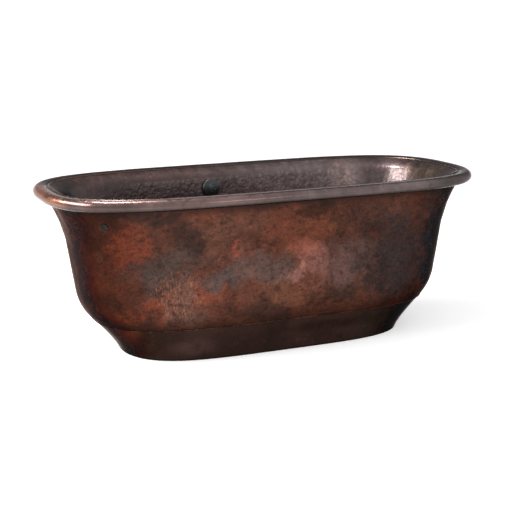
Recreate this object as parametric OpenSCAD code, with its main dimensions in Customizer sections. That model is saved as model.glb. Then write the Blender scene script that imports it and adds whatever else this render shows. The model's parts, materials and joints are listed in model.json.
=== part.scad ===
// Freestanding double-ended bathtub: a hammered copper basin hung inside a smooth
// copper shell, a rolled rim, a tapered plinth, a hidden steel frame on levelling
// feet, and a cable-driven pop-up waste worked by a knob on the overflow.
// Millimetres. Origin: middle of the footprint, on the floor.
// +X runs along the length, +Y points to the overflow side, +Z is up.

/* [Tub] */
// Overall length over the rolled rim
tub_l = 1680; // [1660:5:1720]
// Overall width over the rolled rim
tub_w = 800; // [790:5:820]
// Overall height from the floor to the top of the rim
tub_h = 616; // [612:1:625]
// Thickness of the copper sheet
sheet_t = 1.6; // [1.4:0.1:2.0]

/* [Rim] */
// Height of the rolled edge
roll_d = 41; // [38:1:44]
// Width of the rim from its outer edge to the basin opening
rim_w = 58; // [56:1:60]
// How far the flat lip lies below the top of the roll
lip_drop = 4; // [3:0.5:5]
// Diameter of the steel rod that stiffens the inside of the roll
rim_rod_d = 12; // [10:1:16]

/* [Outer shell] */
// Half-length of the shell where it meets the rim
shell_top_a = 798; // [794:1:802]
// Half-width of the shell where it meets the rim
shell_top_b = 348; // [345:1:352]
// Half-length of the shell at the seam
seam_a = 658; // [650:1:664]
// Height over which the bottom edge of the shell rounds in
belly_h = 115; // [105:1:125]
// Outward flare below the rim
flare_out = 41; // [38:1:44]
// Height where the flare begins
flare_z = 405; // [395:5:415]
// Outward lean of the wall, per unit of height
wall_lean = 0.137; // [0.13:0.001:0.145]

/* [Plinth] */
// Height of the plinth, up to the seam
plinth_h = 128; // [126:1:130]
// Half-length of the plinth on the floor
foot_a = 557; // [550:1:565]
// Width of the hems turned inward at the seam and at the floor
hem_w = 20; // [16:1:22]

/* [Basin] */
// Height of the basin floor
floor_z = 138; // [138:1:139]
// Inward step of the wall just below the lip
basin_step = 40; // [38:1:42]
// Slope of the side walls, per unit of depth
side_slope = 0.12; // [0.11:0.01:0.13]
// Slope of the end walls, per unit of depth
end_slope = 0.28; // [0.26:0.01:0.3]
// Fall of the floor towards the drain
floor_fall = 6; // [6:1:6]

/* [Waste and overflow] */
// Distance of the drain and the overflow from the middle, along the length
waste_x = -85; // [-95:5:0]
// Height of the overflow centre
overflow_z = 532; // [531:1:532]
// Diameter of the overflow knob
knob_d = 72; // [68:1:74]
// How far the knob turns to open the waste, in degrees
knob_turn = 80; // [70:5:80]
// Lift of the stopper
lift = 12; // [10:1:12]
// Outside diameter of the tailpiece
tail_d = 38.1; // [38.1:0.1:38.1]

/* [Frame and feet] */
// Distance of each cross bearer from the middle
bearer_x = 330; // [320:5:340]
// Distance of each levelling foot from the centre line
foot_y = 170; // [165:1:175]
// Travel of each levelling foot
foot_travel = 10; // [8:1:12]

/* [Hidden] */

rim_a = tub_l / 2;
rim_b = tub_w / 2;
ring_n = 72;          // points round each plan outline
corner_pull = 5.7;    // degrees by which the points crowd into the rounded corners
fit_gap = 0.1;        // between two fixed parts that nest
run_gap = 0.08;       // between a shaft and its hole
safe_gap = 0.3;       // between moving surfaces that only come close

// Exponents of the rounded-oblong outline: one for the ends, one for the long sides.
rim_end_n = 2.95;
rim_side_n = 4.0;
foot_end_n = 2.5;
foot_side_n = 3.8;
floor_end_n = 2.5;
floor_side_n = 3.3;
inset_n = 0.0032;     // growth of both exponents per millimetre of inset, which keeps a band even

function clamp01(v) = min(max(v, 0), 1);
function mix(p, q, w) = p + (q - p) * w;

// One plan outline: a rounded oblong with half-axes a and b at height z.
function warp(i, n) = let (p = 360 * i / n) p + corner_pull * sin(4 * p);
function outline_pt(th, a, b, z, en, sn) =
    let (
        e = en + (sn - en) * pow(sin(th), 2),
        r = pow(pow(abs(cos(th)), e) + pow(abs(sin(th)), e), -1 / e)
    )
    [a * r * cos(th), b * r * sin(th), z];
function outline(a, b, z, en, sn, n = ring_n) =
    [for (i = [0 : n - 1]) outline_pt(warp(i, n), a, b, z, en, sn)];

// Half-length and half-width of the outer surface at height z.
shell_top = tub_h - roll_d;
wall_z = 227;
wall_a = shell_top_a - flare_out - wall_lean * (shell_top - wall_z);
belly_in = wall_a + wall_lean * (plinth_h - wall_z) - seam_a;
width_ratio = 0.42;   // change of half-width per change of half-length
function shell_a(z) =
    let (
        t = clamp01((z - plinth_h) / belly_h),
        u = clamp01((z - flare_z) / (shell_top - flare_z))
    )
    wall_a + wall_lean * (z - wall_z) - belly_in * pow(1 - t, 2.7) + flare_out * pow(u, 1.8);
function plinth_a(z) = mix(foot_a, seam_a, pow(z / plinth_h, 1.24));
function body_a(z) = z > plinth_h ? shell_a(z) : plinth_a(z);
function body_b(z) = shell_top_b - width_ratio * (shell_top_a - body_a(z));
function body_ring(z, inset = 0) =
    let (w = z / shell_top)
    outline(body_a(z) - inset, body_b(z) - inset, z,
        mix(foot_end_n, rim_end_n, w), mix(foot_side_n, rim_side_n, w));

function rim_ring(inset, z, n = ring_n) =
    outline(rim_a - inset, rim_b - inset, z,
        rim_end_n + inset_n * inset, rim_side_n + inset_n * inset, n);

// Faces between successive rings of points; the last ring joins the first when closed.
function band_faces(rings, n, closed) =
    [for (k = [0 : rings - (closed ? 1 : 2)])
        for (i = [0 : n - 1])
            let (
                j = (i + 1) % n,
                p = k * n,
                q = ((k + 1) % rings) * n
            )
            each [[p + i, q + i, q + j], [p + i, q + j, p + j]]];

// A band of sheet or bar swept round the tub: rings of one closed section.
module swept_band(rings) {
    n = len(rings[0]);
    polyhedron([for (r = rings) each r], band_faces(len(rings), n, true), convexity = 8);
}

// A bowl: rings from the outer middle, up the outside and down the inside to the inner middle.
module swept_bowl(rings, under, over) {
    n = len(rings[0]);
    m = len(rings);
    last = (m - 1) * n;
    points = [each [for (r = rings) each r], under, over];
    caps = [for (i = [0 : n - 1])
        let (j = (i + 1) % n)
        each [[m * n, i, j], [m * n + 1, last + j, last + i]]];
    polyhedron(points, concat(band_faces(m, n, false), caps), convexity = 8);
}

// A round tube or rod along a path that lies in the YZ plane. Each path entry is [y, z].
function path_dir(path, k) =
    let (
        p = path[max(k - 1, 0)],
        q = path[min(k + 1, len(path) - 1)]
    )
    (q - p) / norm(q - p);
function tube_ring(path, k, r, sides) =
    let (d = path_dir(path, k))
    [for (i = [0 : sides - 1])
        let (c = r * cos(360 * i / sides), s = r * sin(360 * i / sides))
        [c, path[k].x - s * d.y, path[k].y + s * d.x]];

module swept_rod(path, r, sides) {
    m = len(path);
    points = [for (k = [0 : m - 1]) each tube_ring(path, k, r, sides)];
    ends = [
        [for (i = [0 : sides - 1]) sides - 1 - i],
        [for (i = [0 : sides - 1]) (m - 1) * sides + i]
    ];
    walls = [for (f = band_faces(m, sides, false)) [f[2], f[1], f[0]]];
    polyhedron(points, concat(walls, ends), convexity = 6);
}

module swept_tube(path, r, wall, sides) {
    m = len(path);
    out = [for (k = [0 : m - 1]) each tube_ring(path, k, r, sides)];
    inn = [for (k = [m - 1 : -1 : 0]) each tube_ring(path, k, r - wall, sides)];
    faces = [for (f = band_faces(2 * m, sides, true)) [f[2], f[1], f[0]]];
    polyhedron(concat(out, inn), faces, convexity = 6);
}

module ring_disc(r_in, r_out, z0, z1, fn = 64) {
    difference() {
        translate([0, 0, z0]) cylinder(h = z1 - z0, r = r_out, $fn = fn);
        translate([0, 0, z0 - 1]) cylinder(h = z1 - z0 + 2, r = r_in, $fn = fn);
    }
}

module hex_nut(flats, h, r_hole) {
    difference() {
        cylinder(h = h, r = flats / sqrt(3), $fn = 6);
        translate([0, 0, -1]) cylinder(h = h + 2, r = r_hole, $fn = 48);
    }
}

module at_bearer_sides() {
    for (x = [-bearer_x, bearer_x]) for (front = [0, 1])
        translate([x, 0, 0]) mirror([0, front, 0]) children();
}

// ---- Basin -----------------------------------------------------------------
lip_z = tub_h - lip_drop;
basin_top = lip_z - sheet_t;
lip_cover = 2;                      // how far the lip reaches over the basin edge
basin_in = rim_w + lip_cover;
step_h = 40;                        // depth over which the step below the lip is rounded
belly_rise = 112;                   // height of the rounded bottom corner
belly_end = 130;                    // its reach at the ends
belly_side = 95;                    // its reach at the sides
wall_depth = basin_top - floor_z - belly_rise;
dish_r = 45;                        // flat round the drain
drain_z = floor_z - floor_fall;
drain_hole_r = 26;

function step_in(t) = basin_step * (1 - pow(1 - clamp01(t / step_h), 2));
function step_rate(t) = t < step_h ? 2 * basin_step / step_h * (1 - t / step_h) : 0;
function basin_ring(t, in_end, in_side, off_in, off_down) =
    let (w = clamp01(t / (basin_top - floor_z)))
    outline(rim_a - basin_in - in_end + off_in, rim_b - basin_in - in_side + off_in,
        basin_top - t - off_down,
        mix(rim_end_n + inset_n * basin_in, floor_end_n, w),
        mix(rim_side_n + inset_n * basin_in, floor_side_n, w));
function wall_ring(t, off) =
    let (
        rate = step_rate(t) + side_slope,
        l = sqrt(1 + rate * rate),
        down = t == 0 ? 0 : off * rate / l,
        out = t == 0 ? off : off / l
    )
    basin_ring(t, step_in(t) + end_slope * t, step_in(t) + side_slope * t, out, down);
function belly_ring(phi, off) =
    let (
        t = wall_depth + belly_rise * sin(phi),
        reach = 1 - cos(phi)
    )
    basin_ring(t, basin_step + end_slope * t + belly_end * reach,
        basin_step + side_slope * t + belly_side * reach, off * cos(phi), off * sin(phi));
function floor_ring(w, fall, off) =
    let (edge = belly_ring(90, off))
    [for (i = [0 : ring_n - 1])
        let (
            th = warp(i, ring_n),
            dish = [waste_x + dish_r * cos(th), dish_r * sin(th), floor_z - off]
        )
        mix(edge[i], dish, w) - [0, 0, fall * floor_fall]];

wall_steps = [0, 5, 12, 20, 30, 40, 100, 180, 270, wall_depth];
belly_steps = [15 : 15 : 90];
floor_steps = [[0.45, 0], [0.72, 0.45], [1, 1]];
function basin_face(off) = [
    for (t = wall_steps) wall_ring(t, off),
    for (phi = belly_steps) belly_ring(phi, off),
    for (f = floor_steps) floor_ring(f[0], f[1], off)
];
function reversed(v) = [for (i = [len(v) - 1 : -1 : 0]) v[i]];

// ---- Overflow frame: local +Z points into the basin, local +Y up the wall ------
overflow_t = basin_top - overflow_z;
overflow_y = rim_b - basin_in - basin_step - side_slope * overflow_t;
overflow_tilt = atan(side_slope);
module at_overflow() {
    translate([waste_x, overflow_y, overflow_z]) rotate([90 - overflow_tilt, 0, 0]) children();
}
module at_drain() {
    translate([waste_x, 0, 0]) children();
}
// World [y, z] of a local point [up the wall, into the basin].
function overflow_yz(up, into) = [
    overflow_y + up * sin(overflow_tilt) - into * cos(overflow_tilt),
    overflow_z + up * cos(overflow_tilt) + into * sin(overflow_tilt)
];

overflow_hole_r = 24;
gasket_t = 3;
elbow_front = -sheet_t - 0.2 - gasket_t;
elbow_back = -36;
elbow_r = 33;
elbow_wall = 2.5;
spigot_r = 13.4;
spigot_bore = 11.4;
spigot_into = -20.5;                // local depth of the spigot, cam and cable
spigot_end = -62;
spindle_r = 4;
cam_r = 8;
cam_t = 4;
tip_r = 2;
tip_up = -(cam_r + tip_r + 1.4);    // middle of the plunger's round tip at rest
guide_top = -36;
guide_end = -64;
knob_r = knob_d / 2;
screw_x = 18;                       // distance of each flange screw from the spindle
screw_r = 2.5;

// ---- Hose and cable route, down the gap between the two walls ---------------
hose_r = 16.5;
hose_wall = 2.4;
hose_low_z = 98;                    // height of the horizontal run to the shoe
hose_mid = [284, 250];
hose_low = [236, 150];
shoe_spigot_y = 62;
function arc_path(c, r, a0, a1, steps) =
    [for (k = [0 : steps]) let (a = mix(a0, a1, k / steps)) c + r * [cos(a), sin(a)]];
function bezier(p, q, r, steps) =
    [for (k = [1 : steps]) let (w = k / steps) mix(mix(p, q, w), mix(q, r, w), w)];
hose_start = overflow_yz(guide_top - 6, spigot_into);
hose_route = concat(
    [hose_start, overflow_yz(spigot_end - 4, spigot_into)],
    bezier(overflow_yz(spigot_end - 4, spigot_into), [296, 400], hose_mid, 6),
    bezier(hose_mid, [270, 200], hose_low, 5),
    bezier(hose_low, [222, hose_low_z], [168, hose_low_z], 7),
    [[120, hose_low_z], [shoe_spigot_y - 18, hose_low_z]]
);
cable_r = 2.5;
ferrule_r = 5;
ferrule_low = 82;
ferrule_top = 103;
cable_start = overflow_yz(guide_end - 0.4, spigot_into);
cable_route = concat(
    [cable_start],
    bezier(cable_start, [296, 400], hose_mid, 6),
    bezier(hose_mid, [270, 200], hose_low, 5),
    bezier(hose_low, [222, hose_low_z], [168, hose_low_z], 7),
    [[120, hose_low_z], [60, hose_low_z], [ferrule_r + 0.2, hose_low_z]]
);

// ---- Drain stack -----------------------------------------------------------
flange_t = 3.5;
flange_top = drain_z + flange_t;
sleeve_r = 24;
throat_r = 20;
sleeve_low = 106;
stem_r = 3;
stem_low = 103.6;
wire_r = 1.5;
wire_low = 85;
shoe_top = drain_z - sheet_t - gasket_t;
shoe_bottom = 78;
shoe_r = 29;
seat_r = 35;                        // outer radius of the gasket and of the shoe's flange
outlet_low = 62;
outlet_r = 22;
tail_r = tail_d / 2;
tail_wall = 1.1;
tail_neck_r = tail_r - 0.6;         // drawn-down upper end, inside the nut and the shoe
tail_low = 10;
tail_nut_low = 52;
tail_nut_flats = 50;

// ---- Frame -----------------------------------------------------------------
floor_under = floor_z - sheet_t;
pad_t = 4.4;
rail_top = floor_under - pad_t;
rail_h = 16;
rail_w = 20;
rail_y = 100;
rail_half = 365;
bearer_top = rail_top - rail_h;
bearer_h = 25;
bearer_w = 40;
bearer_half = 215;
bearer_low = bearer_top - bearer_h;
tube_wall = 2;                      // wall of the square steel tube
saddle_x = 290;
saddle_half = 60;
bracket_t = 4;
bracket_half = 20;
bolt_r = 4;
bolt_hole_r = bolt_r + 0.2;
bolt_y = 266;
bolt_flats = 13;
bolt_head_h = 5.3;
nut_h = 6.5;
foot_stem_r = 6;
foot_pad_r = 22;
insert_r = 11;
insert_h = 12;
foot_stem_top = bearer_top + insert_h + foot_travel - 4;
locknut_flats = 19;
locknut_h = 7;

module box_between(p, q) {
    translate(p) cube(q - p);
}

module inner_basin() color("#5b4640")
    difference() {
        swept_bowl(
            concat(reversed(basin_face(sheet_t)), basin_face(0)),
            [waste_x, 0, drain_z - sheet_t],
            [waste_x, 0, drain_z]);
        at_drain() translate([0, 0, drain_z - 10]) cylinder(h = 20, r = drain_hole_r, $fn = 96);
        at_overflow() translate([0, 0, -10]) cylinder(h = 20, r = overflow_hole_r, $fn = 96);
    }

shell_steps = [plinth_h, 133, 140, 150, 164, 184, 212, 243, 320, flare_z, 450, 492, 535, shell_top];
module bolt_holes() {
    at_bearer_sides()
        translate([0, bolt_y, plinth_h - 10]) cylinder(h = 20, r = bolt_hole_r, $fn = 48);
}
module outer_shell() color("#6a3120")
    difference() {
        swept_band(concat(
            [for (z = shell_steps) body_ring(z)],
            [for (z = reversed(shell_steps)) body_ring(z == plinth_h ? z + sheet_t : z, sheet_t)],
            [body_ring(plinth_h + sheet_t, hem_w), body_ring(plinth_h, hem_w)]));
        bolt_holes();
    }

roll_r = roll_d / 2;
roll_steps = [90 : -22.5 : -90];
function roll_section(r) =
    [for (a = roll_steps) [roll_r - r * cos(a), tub_h - roll_r + r * sin(a)]];
rim_outer = concat(
    [[rim_w, lip_z], [rim_w - 11, lip_z], [rim_w - 20, tub_h - lip_drop * 0.4]],
    roll_section(roll_r),
    [[rim_w + lip_cover, shell_top]]);
rim_inner = concat(
    [[rim_w + lip_cover, shell_top + sheet_t]],
    reversed(roll_section(roll_r - sheet_t)),
    [[rim_w - 20, tub_h - lip_drop * 0.4 - sheet_t], [rim_w - 11, lip_z - sheet_t],
        [rim_w, lip_z - sheet_t]]);
module rolled_rim() color("#6b5049")
    swept_band([for (p = reversed(concat(rim_outer, rim_inner))) rim_ring(p.x, p.y)]);

module rim_rod() color("silver") {
    r = rim_rod_d / 2;
    sides = 8;
    zc = shell_top + sheet_t + r + 0.2;
    swept_band([for (k = [0 : sides - 1]) let (a = 360 * k / sides)
        rim_ring(roll_r - r * cos(a), zc + r * sin(a), 48)]);
}

plinth_steps = [0, 16, 40, 76, plinth_h];
module plinth_skirt() color("#3a211c")
    difference() {
        swept_band(concat(
            [for (z = plinth_steps) body_ring(z)],
            [body_ring(plinth_h, hem_w), body_ring(plinth_h - sheet_t, hem_w)],
            [body_ring(plinth_h - sheet_t, sheet_t)],
            [for (z = [76, 40, 16]) body_ring(z, sheet_t)],
            [body_ring(sheet_t, sheet_t), body_ring(sheet_t, hem_w), body_ring(0, hem_w)]));
        bolt_holes();
    }

// Half-round bead brazed over the joint of the shell and the plinth.
bead_h = 5;
bead_out = 2.6;
bead_gap = 0.4;
function bead_ring(z, out) = body_ring(z, -out);
module seam_bead() color("#9a6a4a")
    swept_band([
        bead_ring(plinth_h - bead_h / 2, bead_gap), bead_ring(plinth_h - bead_h / 3, bead_out),
        bead_ring(plinth_h + bead_h / 4, bead_out), bead_ring(plinth_h + bead_h / 2, bead_gap),
        bead_ring(plinth_h, fit_gap)]);

// Small plain disc brazed on the shell near one end of the front.
disc_z = 514;
disc_th = 219.4;
disc_r = 16;
disc_off = 0.5;          // stands the flat disc clear of the curved wall
disc_lean = 0.85;        // share of the end-wall slope at the disc
module maker_disc() color("#4a3a30") {
    w = disc_z / shell_top;
    en = mix(foot_end_n, rim_end_n, w);
    sn = mix(foot_side_n, rim_side_n, w);
    p = outline_pt(disc_th, body_a(disc_z), body_b(disc_z), disc_z, en, sn);
    q = outline_pt(disc_th + 0.5, body_a(disc_z), body_b(disc_z), disc_z, en, sn);
    lean = atan((body_a(disc_z + 10) - body_a(disc_z - 10)) / 20 * disc_lean);
    translate(p)
        rotate([0, 0, atan2(q.y - p.y, q.x - p.x) - 90])
            rotate([0, 90 + lean, 0])
                translate([0, 0, disc_off])
                    rotate_extrude($fn = 64)
                        polygon([[0, 0], [disc_r, 0], [disc_r, 1.2], [disc_r - 1, 2], [disc_r - 4, 2],
                            [disc_r - 5, 1.4], [0, 1.4]]);
}

module frame_rails() color("dimgray")
    for (y = [-rail_y, rail_y])
        difference() {
            box_between([-rail_half, y - rail_w / 2, bearer_top], [rail_half, y + rail_w / 2, rail_top]);
            box_between([-rail_half - 1, y - rail_w / 2 + tube_wall, bearer_top + tube_wall],
                [rail_half + 1, y + rail_w / 2 - tube_wall, rail_top - tube_wall]);
        }

module cross_bearers() color("dimgray")
    for (x = [-bearer_x, bearer_x])
        difference() {
            box_between([x - bearer_w / 2, -bearer_half, bearer_low],
                [x + bearer_w / 2, bearer_half, bearer_top]);
            box_between([x - bearer_w / 2 + tube_wall, -bearer_half - 1, bearer_low + tube_wall],
                [x + bearer_w / 2 - tube_wall, bearer_half + 1, bearer_top - tube_wall]);
            for (y = [-foot_y, foot_y])
                translate([x, y, bearer_low - 1])
                    cylinder(h = bearer_h + 2, r = foot_stem_r + 2, $fn = 48);
        }

module saddle_pads() color("#202020")
    for (x = [-saddle_x, saddle_x]) for (y = [-rail_y, rail_y])
        box_between([x - saddle_half, y - rail_w / 2, rail_top],
            [x + saddle_half, y + rail_w / 2, floor_under]);

module frame_brackets() color("gray")
    at_bearer_sides()
        difference() {
            union() {
                box_between([-bracket_half, bearer_half, bearer_low],
                    [bracket_half, bearer_half + bracket_t, plinth_h - sheet_t]);
                box_between([-bracket_half, bearer_half, plinth_h - sheet_t - bracket_t],
                    [bracket_half, bolt_y + 8, plinth_h - sheet_t]);
            }
            translate([0, bolt_y, plinth_h - 20]) cylinder(h = 40, r = bolt_hole_r, $fn = 48);
        }

module frame_bolts() color("lightgray")
    at_bearer_sides() translate([0, bolt_y, 0]) {
        head_top = plinth_h - sheet_t - bracket_t;
        translate([0, 0, head_top - bolt_head_h])
            cylinder(h = bolt_head_h, r = bolt_flats / sqrt(3), $fn = 6);
        translate([0, 0, head_top - 0.5]) cylinder(h = 18, r = bolt_r, $fn = 48);
    }

module frame_nuts() color("lightgray")
    at_bearer_sides()
        translate([0, bolt_y, plinth_h + sheet_t]) hex_nut(bolt_flats, nut_h, bolt_r + 0.05);

module foot_inserts() color("lightgray")
    at_bearer_sides()
        translate([0, foot_y, 0])
            ring_disc(foot_stem_r + run_gap, insert_r, bearer_top, bearer_top + insert_h);

module foot_locknuts() color("lightgray")
    at_bearer_sides()
        translate([0, foot_y, bearer_low - locknut_h])
            hex_nut(locknut_flats, locknut_h, foot_stem_r + run_gap);

module levelling_foot(x, y) color("#404448")
    translate([x, y, 0]) {
        rotate_extrude($fn = 64)
            polygon([[0, 0], [foot_pad_r - 1, 0], [foot_pad_r, 1.5], [foot_pad_r, 5], [10, 11],
                [10, 14], [0, 14]]);
        translate([0, 0, 13]) cylinder(h = 8, r = 12 / sqrt(3), $fn = 6);
        translate([0, 0, 20]) cylinder(h = foot_stem_top - 20, r = foot_stem_r, $fn = 48);
    }
module levelling_foot_front_left() levelling_foot(-bearer_x, -foot_y);
module levelling_foot_front_right() levelling_foot(bearer_x, -foot_y);
module levelling_foot_back_left() levelling_foot(-bearer_x, foot_y);
module levelling_foot_back_right() levelling_foot(bearer_x, foot_y);

module drain_flange() color("#3b342f") at_drain() {
    rotate_extrude($fn = 96)
        polygon([[throat_r, sleeve_low], [sleeve_r, sleeve_low], [sleeve_r, drain_z], [36, drain_z],
            [36, drain_z + 1.2], [34.5, flange_top], [throat_r + 1.5, flange_top],
            [throat_r, flange_top - 1.5]]);
    difference() {
        union() {
            for (a = [0, 60, 120]) rotate([0, 0, a])
                box_between([-throat_r - 1, -1.5, sleeve_low], [throat_r + 1, 1.5, sleeve_low + 6]);
            translate([0, 0, sleeve_low]) cylinder(h = 12, r = 6, $fn = 48);
        }
        translate([0, 0, sleeve_low - 1]) cylinder(h = 20, r = stem_r + run_gap, $fn = 48);
    }
}

module drain_gasket() color("#1c1c1c")
    at_drain() ring_disc(sleeve_r + 0.5, seat_r, shoe_top, shoe_top + gasket_t);

module drain_shoe() color("#b08d57")
    at_drain() difference() {
        union() {
            rotate_extrude($fn = 96)
                polygon([[0, shoe_bottom], [outlet_r, shoe_bottom], [shoe_r, shoe_bottom + 4],
                    [shoe_r, shoe_top - 4], [seat_r, shoe_top - 4], [seat_r, shoe_top],
                    [0, shoe_top]]);
            translate([0, 0, outlet_low]) cylinder(h = 20, r = outlet_r, $fn = 96);
            translate([0, 0, hose_low_z]) rotate([-90, 0, 0])
                cylinder(h = shoe_spigot_y, r = spigot_r, $fn = 64);
        }
        translate([0, 0, shoe_bottom + 3]) cylinder(h = 60, r = sleeve_r + fit_gap, $fn = 96);
        translate([0, 0, outlet_low - 1]) cylinder(h = 30, r = tail_neck_r + fit_gap, $fn = 96);
        translate([0, 0, hose_low_z]) rotate([-90, 0, 0])
            cylinder(h = shoe_spigot_y + 1, r = spigot_bore, $fn = 64);
    }

cap_low = flange_top + safe_gap;
cap_r = 31.5;
cap_boss_h = 4.5;
module stopper_cap() color("#3b342f")
    at_drain() rotate_extrude($fn = 96)
        polygon(concat(
            [[0, cap_low - cap_boss_h], [16.5, cap_low - cap_boss_h], [16.5, cap_low],
                [cap_r - 0.5, cap_low], [cap_r, cap_low + 1.2]],
            [for (a = [15 : 15 : 90]) [cap_r * cos(a), cap_low + 1.2 + 5.8 * sin(a)]]));

module stopper_seal() color("#1c1c1c")
    at_drain() translate([0, 0, cap_low - 2.2])
        rotate_extrude($fn = 96) translate([18.1, 0]) circle(r = 1.5, $fn = 24);

module stopper_stem() color("#b08d57")
    at_drain() translate([0, 0, stem_low])
        cylinder(h = cap_low - cap_boss_h - stem_low, r = stem_r, $fn = 48);

module push_wire() color("lightgray")
    at_drain() translate([0, 0, wire_low]) cylinder(h = stem_low - wire_low, r = wire_r, $fn = 32);

module cable_ferrule() color("#b08d57")
    at_drain() difference() {
        union() {
            translate([0, 0, ferrule_low])
                cylinder(h = ferrule_top - ferrule_low, r = ferrule_r, $fn = 48);
            box_between([-sleeve_r, -2, ferrule_low], [sleeve_r, 2, ferrule_low + 4]);
        }
        translate([0, 0, wire_low - 1]) cylinder(h = 20, r = wire_r + run_gap, $fn = 32);
    }

module drive_cable() color("#26262a") at_drain() swept_rod(cable_route, cable_r, 8);

module cable_guide() color("#b08d57")
    at_overflow() translate([0, 0, spigot_into])
        difference() {
            union() {
                translate([0, guide_end, 0]) rotate([-90, 0, 0])
                    cylinder(h = guide_top - guide_end, r = 4.5, $fn = 48);
                box_between([-spigot_bore + fit_gap, guide_top - 14, -1.5],
                    [spigot_bore - fit_gap, guide_top - 8, 1.5]);
            }
            translate([0, guide_end - 1, 0]) rotate([-90, 0, 0])
                cylinder(h = guide_top - guide_end + 2, r = tip_r + run_gap, $fn = 48);
        }

module cam_plunger() color("lightgray")
    at_overflow() translate([0, 0, spigot_into]) {
        translate([0, -50, 0]) rotate([-90, 0, 0]) cylinder(h = 50 + tip_up, r = tip_r, $fn = 48);
        translate([0, tip_up, 0]) sphere(r = tip_r, $fn = 48);
    }

module tailpiece() color("#b08d57")
    at_drain() difference() {
        union() {
            translate([0, 0, tail_low]) cylinder(h = tail_nut_low - tail_low, r = tail_r, $fn = 96);
            translate([0, 0, tail_nut_low - 1])
                cylinder(h = 75 - tail_nut_low, r = tail_neck_r, $fn = 96);
        }
        translate([0, 0, tail_low - 1]) cylinder(h = 80, r = tail_neck_r - tail_wall, $fn = 96);
    }

module tailpiece_nut() color("#b08d57")
    at_drain() difference() {
        translate([0, 0, tail_nut_low + 0.5]) cylinder(h = 20, r = tail_nut_flats / sqrt(3), $fn = 6);
        translate([0, 0, tail_nut_low - 1]) cylinder(h = 30, r = tail_neck_r + 0.3, $fn = 96);
        translate([0, 0, tail_nut_low + 6]) cylinder(h = 30, r = outlet_r + fit_gap, $fn = 96);
    }

module tailpiece_washer() color("#e8e8e8")
    at_drain() ring_disc(tail_neck_r + 0.05, outlet_r - 0.2, tail_nut_low + 6, outlet_low, 96);

module overflow_hose() color("#d8d8d4") at_drain() swept_tube(hose_route, hose_r, hose_wall, 12);

// Worm-drive clips that hold the hose on the elbow's spigot and on the shoe's.
module hose_clip() {
    ring_disc(hose_r + 0.3, hose_r + 1.5, -5, 5);
    difference() {
        box_between([hose_r, -6, -5], [hose_r + 8, 6, 5]);
        translate([0, 0, -6]) cylinder(h = 12, r = hose_r + 0.4, $fn = 64);
    }
}
module hose_clips() color("silver") {
    at_overflow() translate([0, spigot_end + 12, spigot_into]) rotate([-90, 0, 0]) hose_clip();
    at_drain() translate([0, shoe_spigot_y - 8, hose_low_z]) rotate([-90, 0, 0]) hose_clip();
}

module overflow_elbow() color("#b08d57")
    at_overflow()
        difference() {
            union() {
                difference() {
                    union() {
                        translate([0, 0, elbow_back])
                            cylinder(h = elbow_front - elbow_back, r = elbow_r, $fn = 96);
                        translate([0, spigot_end, spigot_into]) rotate([-90, 0, 0])
                            cylinder(h = -spigot_end - 20, r = spigot_r, $fn = 64);
                    }
                    translate([0, 0, elbow_back + elbow_wall])
                        cylinder(h = 60, r = elbow_r - elbow_wall, $fn = 96);
                    translate([0, spigot_end - 1, spigot_into]) rotate([-90, 0, 0])
                        cylinder(h = -spigot_end - 10, r = spigot_bore, $fn = 64);
                }
                translate([0, 0, elbow_back + 1]) cylinder(h = 7, r = 7, $fn = 48);
                box_between([-elbow_r + 1.5, -5, -14], [elbow_r - 1.5, 5, -10]);
            }
            translate([0, 0, elbow_back + elbow_wall])
                cylinder(h = 60, r = spindle_r + run_gap, $fn = 48);
            for (x = [-screw_x, screw_x]) translate([x, 0, -20])
                cylinder(h = 20, r = screw_r + 0.05, $fn = 32);
        }

module overflow_gasket() color("#1c1c1c")
    at_overflow() ring_disc(overflow_hole_r + 1, elbow_r, elbow_front, elbow_front + gasket_t);

flange_face = 4;
module overflow_flange() color("#2e2a26")
    at_overflow()
        difference() {
            translate([0, 0, 0.2]) cylinder(h = flange_face - 0.2, r1 = 35, r2 = 33.5, $fn = 96);
            translate([0, 0, -1]) cylinder(h = 8, r = spindle_r + run_gap, $fn = 48);
            for (x = [-screw_x, screw_x]) translate([x, 0, -1])
                cylinder(h = 8, r = screw_r + 0.2, $fn = 32);
            for (a = [40 : 20 : 140]) for (s = [0, 180]) rotate([0, 0, a + s])
                translate([17, 0, -1]) cylinder(h = 8, r = 2.4, $fn = 24);
        }

module flange_screws() color("#2e2a26")
    at_overflow() for (x = [-screw_x, screw_x]) translate([x, 0, 0]) {
        translate([0, 0, -15]) cylinder(h = flange_face + 15.5, r = screw_r, $fn = 32);
        translate([0, 0, flange_face]) cylinder(h = 1.6, r1 = 4.6, r2 = 3.6, $fn = 32);
    }

knob_low = 6.2;
knob_top = 19;
knob_recess = 2.5;
module overflow_knob() color("#26282a")
    at_overflow()
        rotate_extrude($fn = 96)
            polygon(concat(
                [[0, knob_low + knob_recess], [knob_r - 4, knob_low + knob_recess],
                    [knob_r - 3, knob_low], [knob_r, knob_low], [knob_r, knob_low + 3]],
                [for (k = [1 : 8]) [(knob_r - 3) * cos(11.25 * k) + 3 * (1 - k / 8),
                    knob_low + 4 + (knob_top - knob_low - 4) * sin(11.25 * k)]]));

module knob_spindle() color("#b08d57")
    at_overflow() {
        back = elbow_back + elbow_wall + 1;
        translate([0, 0, back]) cylinder(h = knob_low + knob_recess - back, r = spindle_r, $fn = 48);
    }

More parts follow.
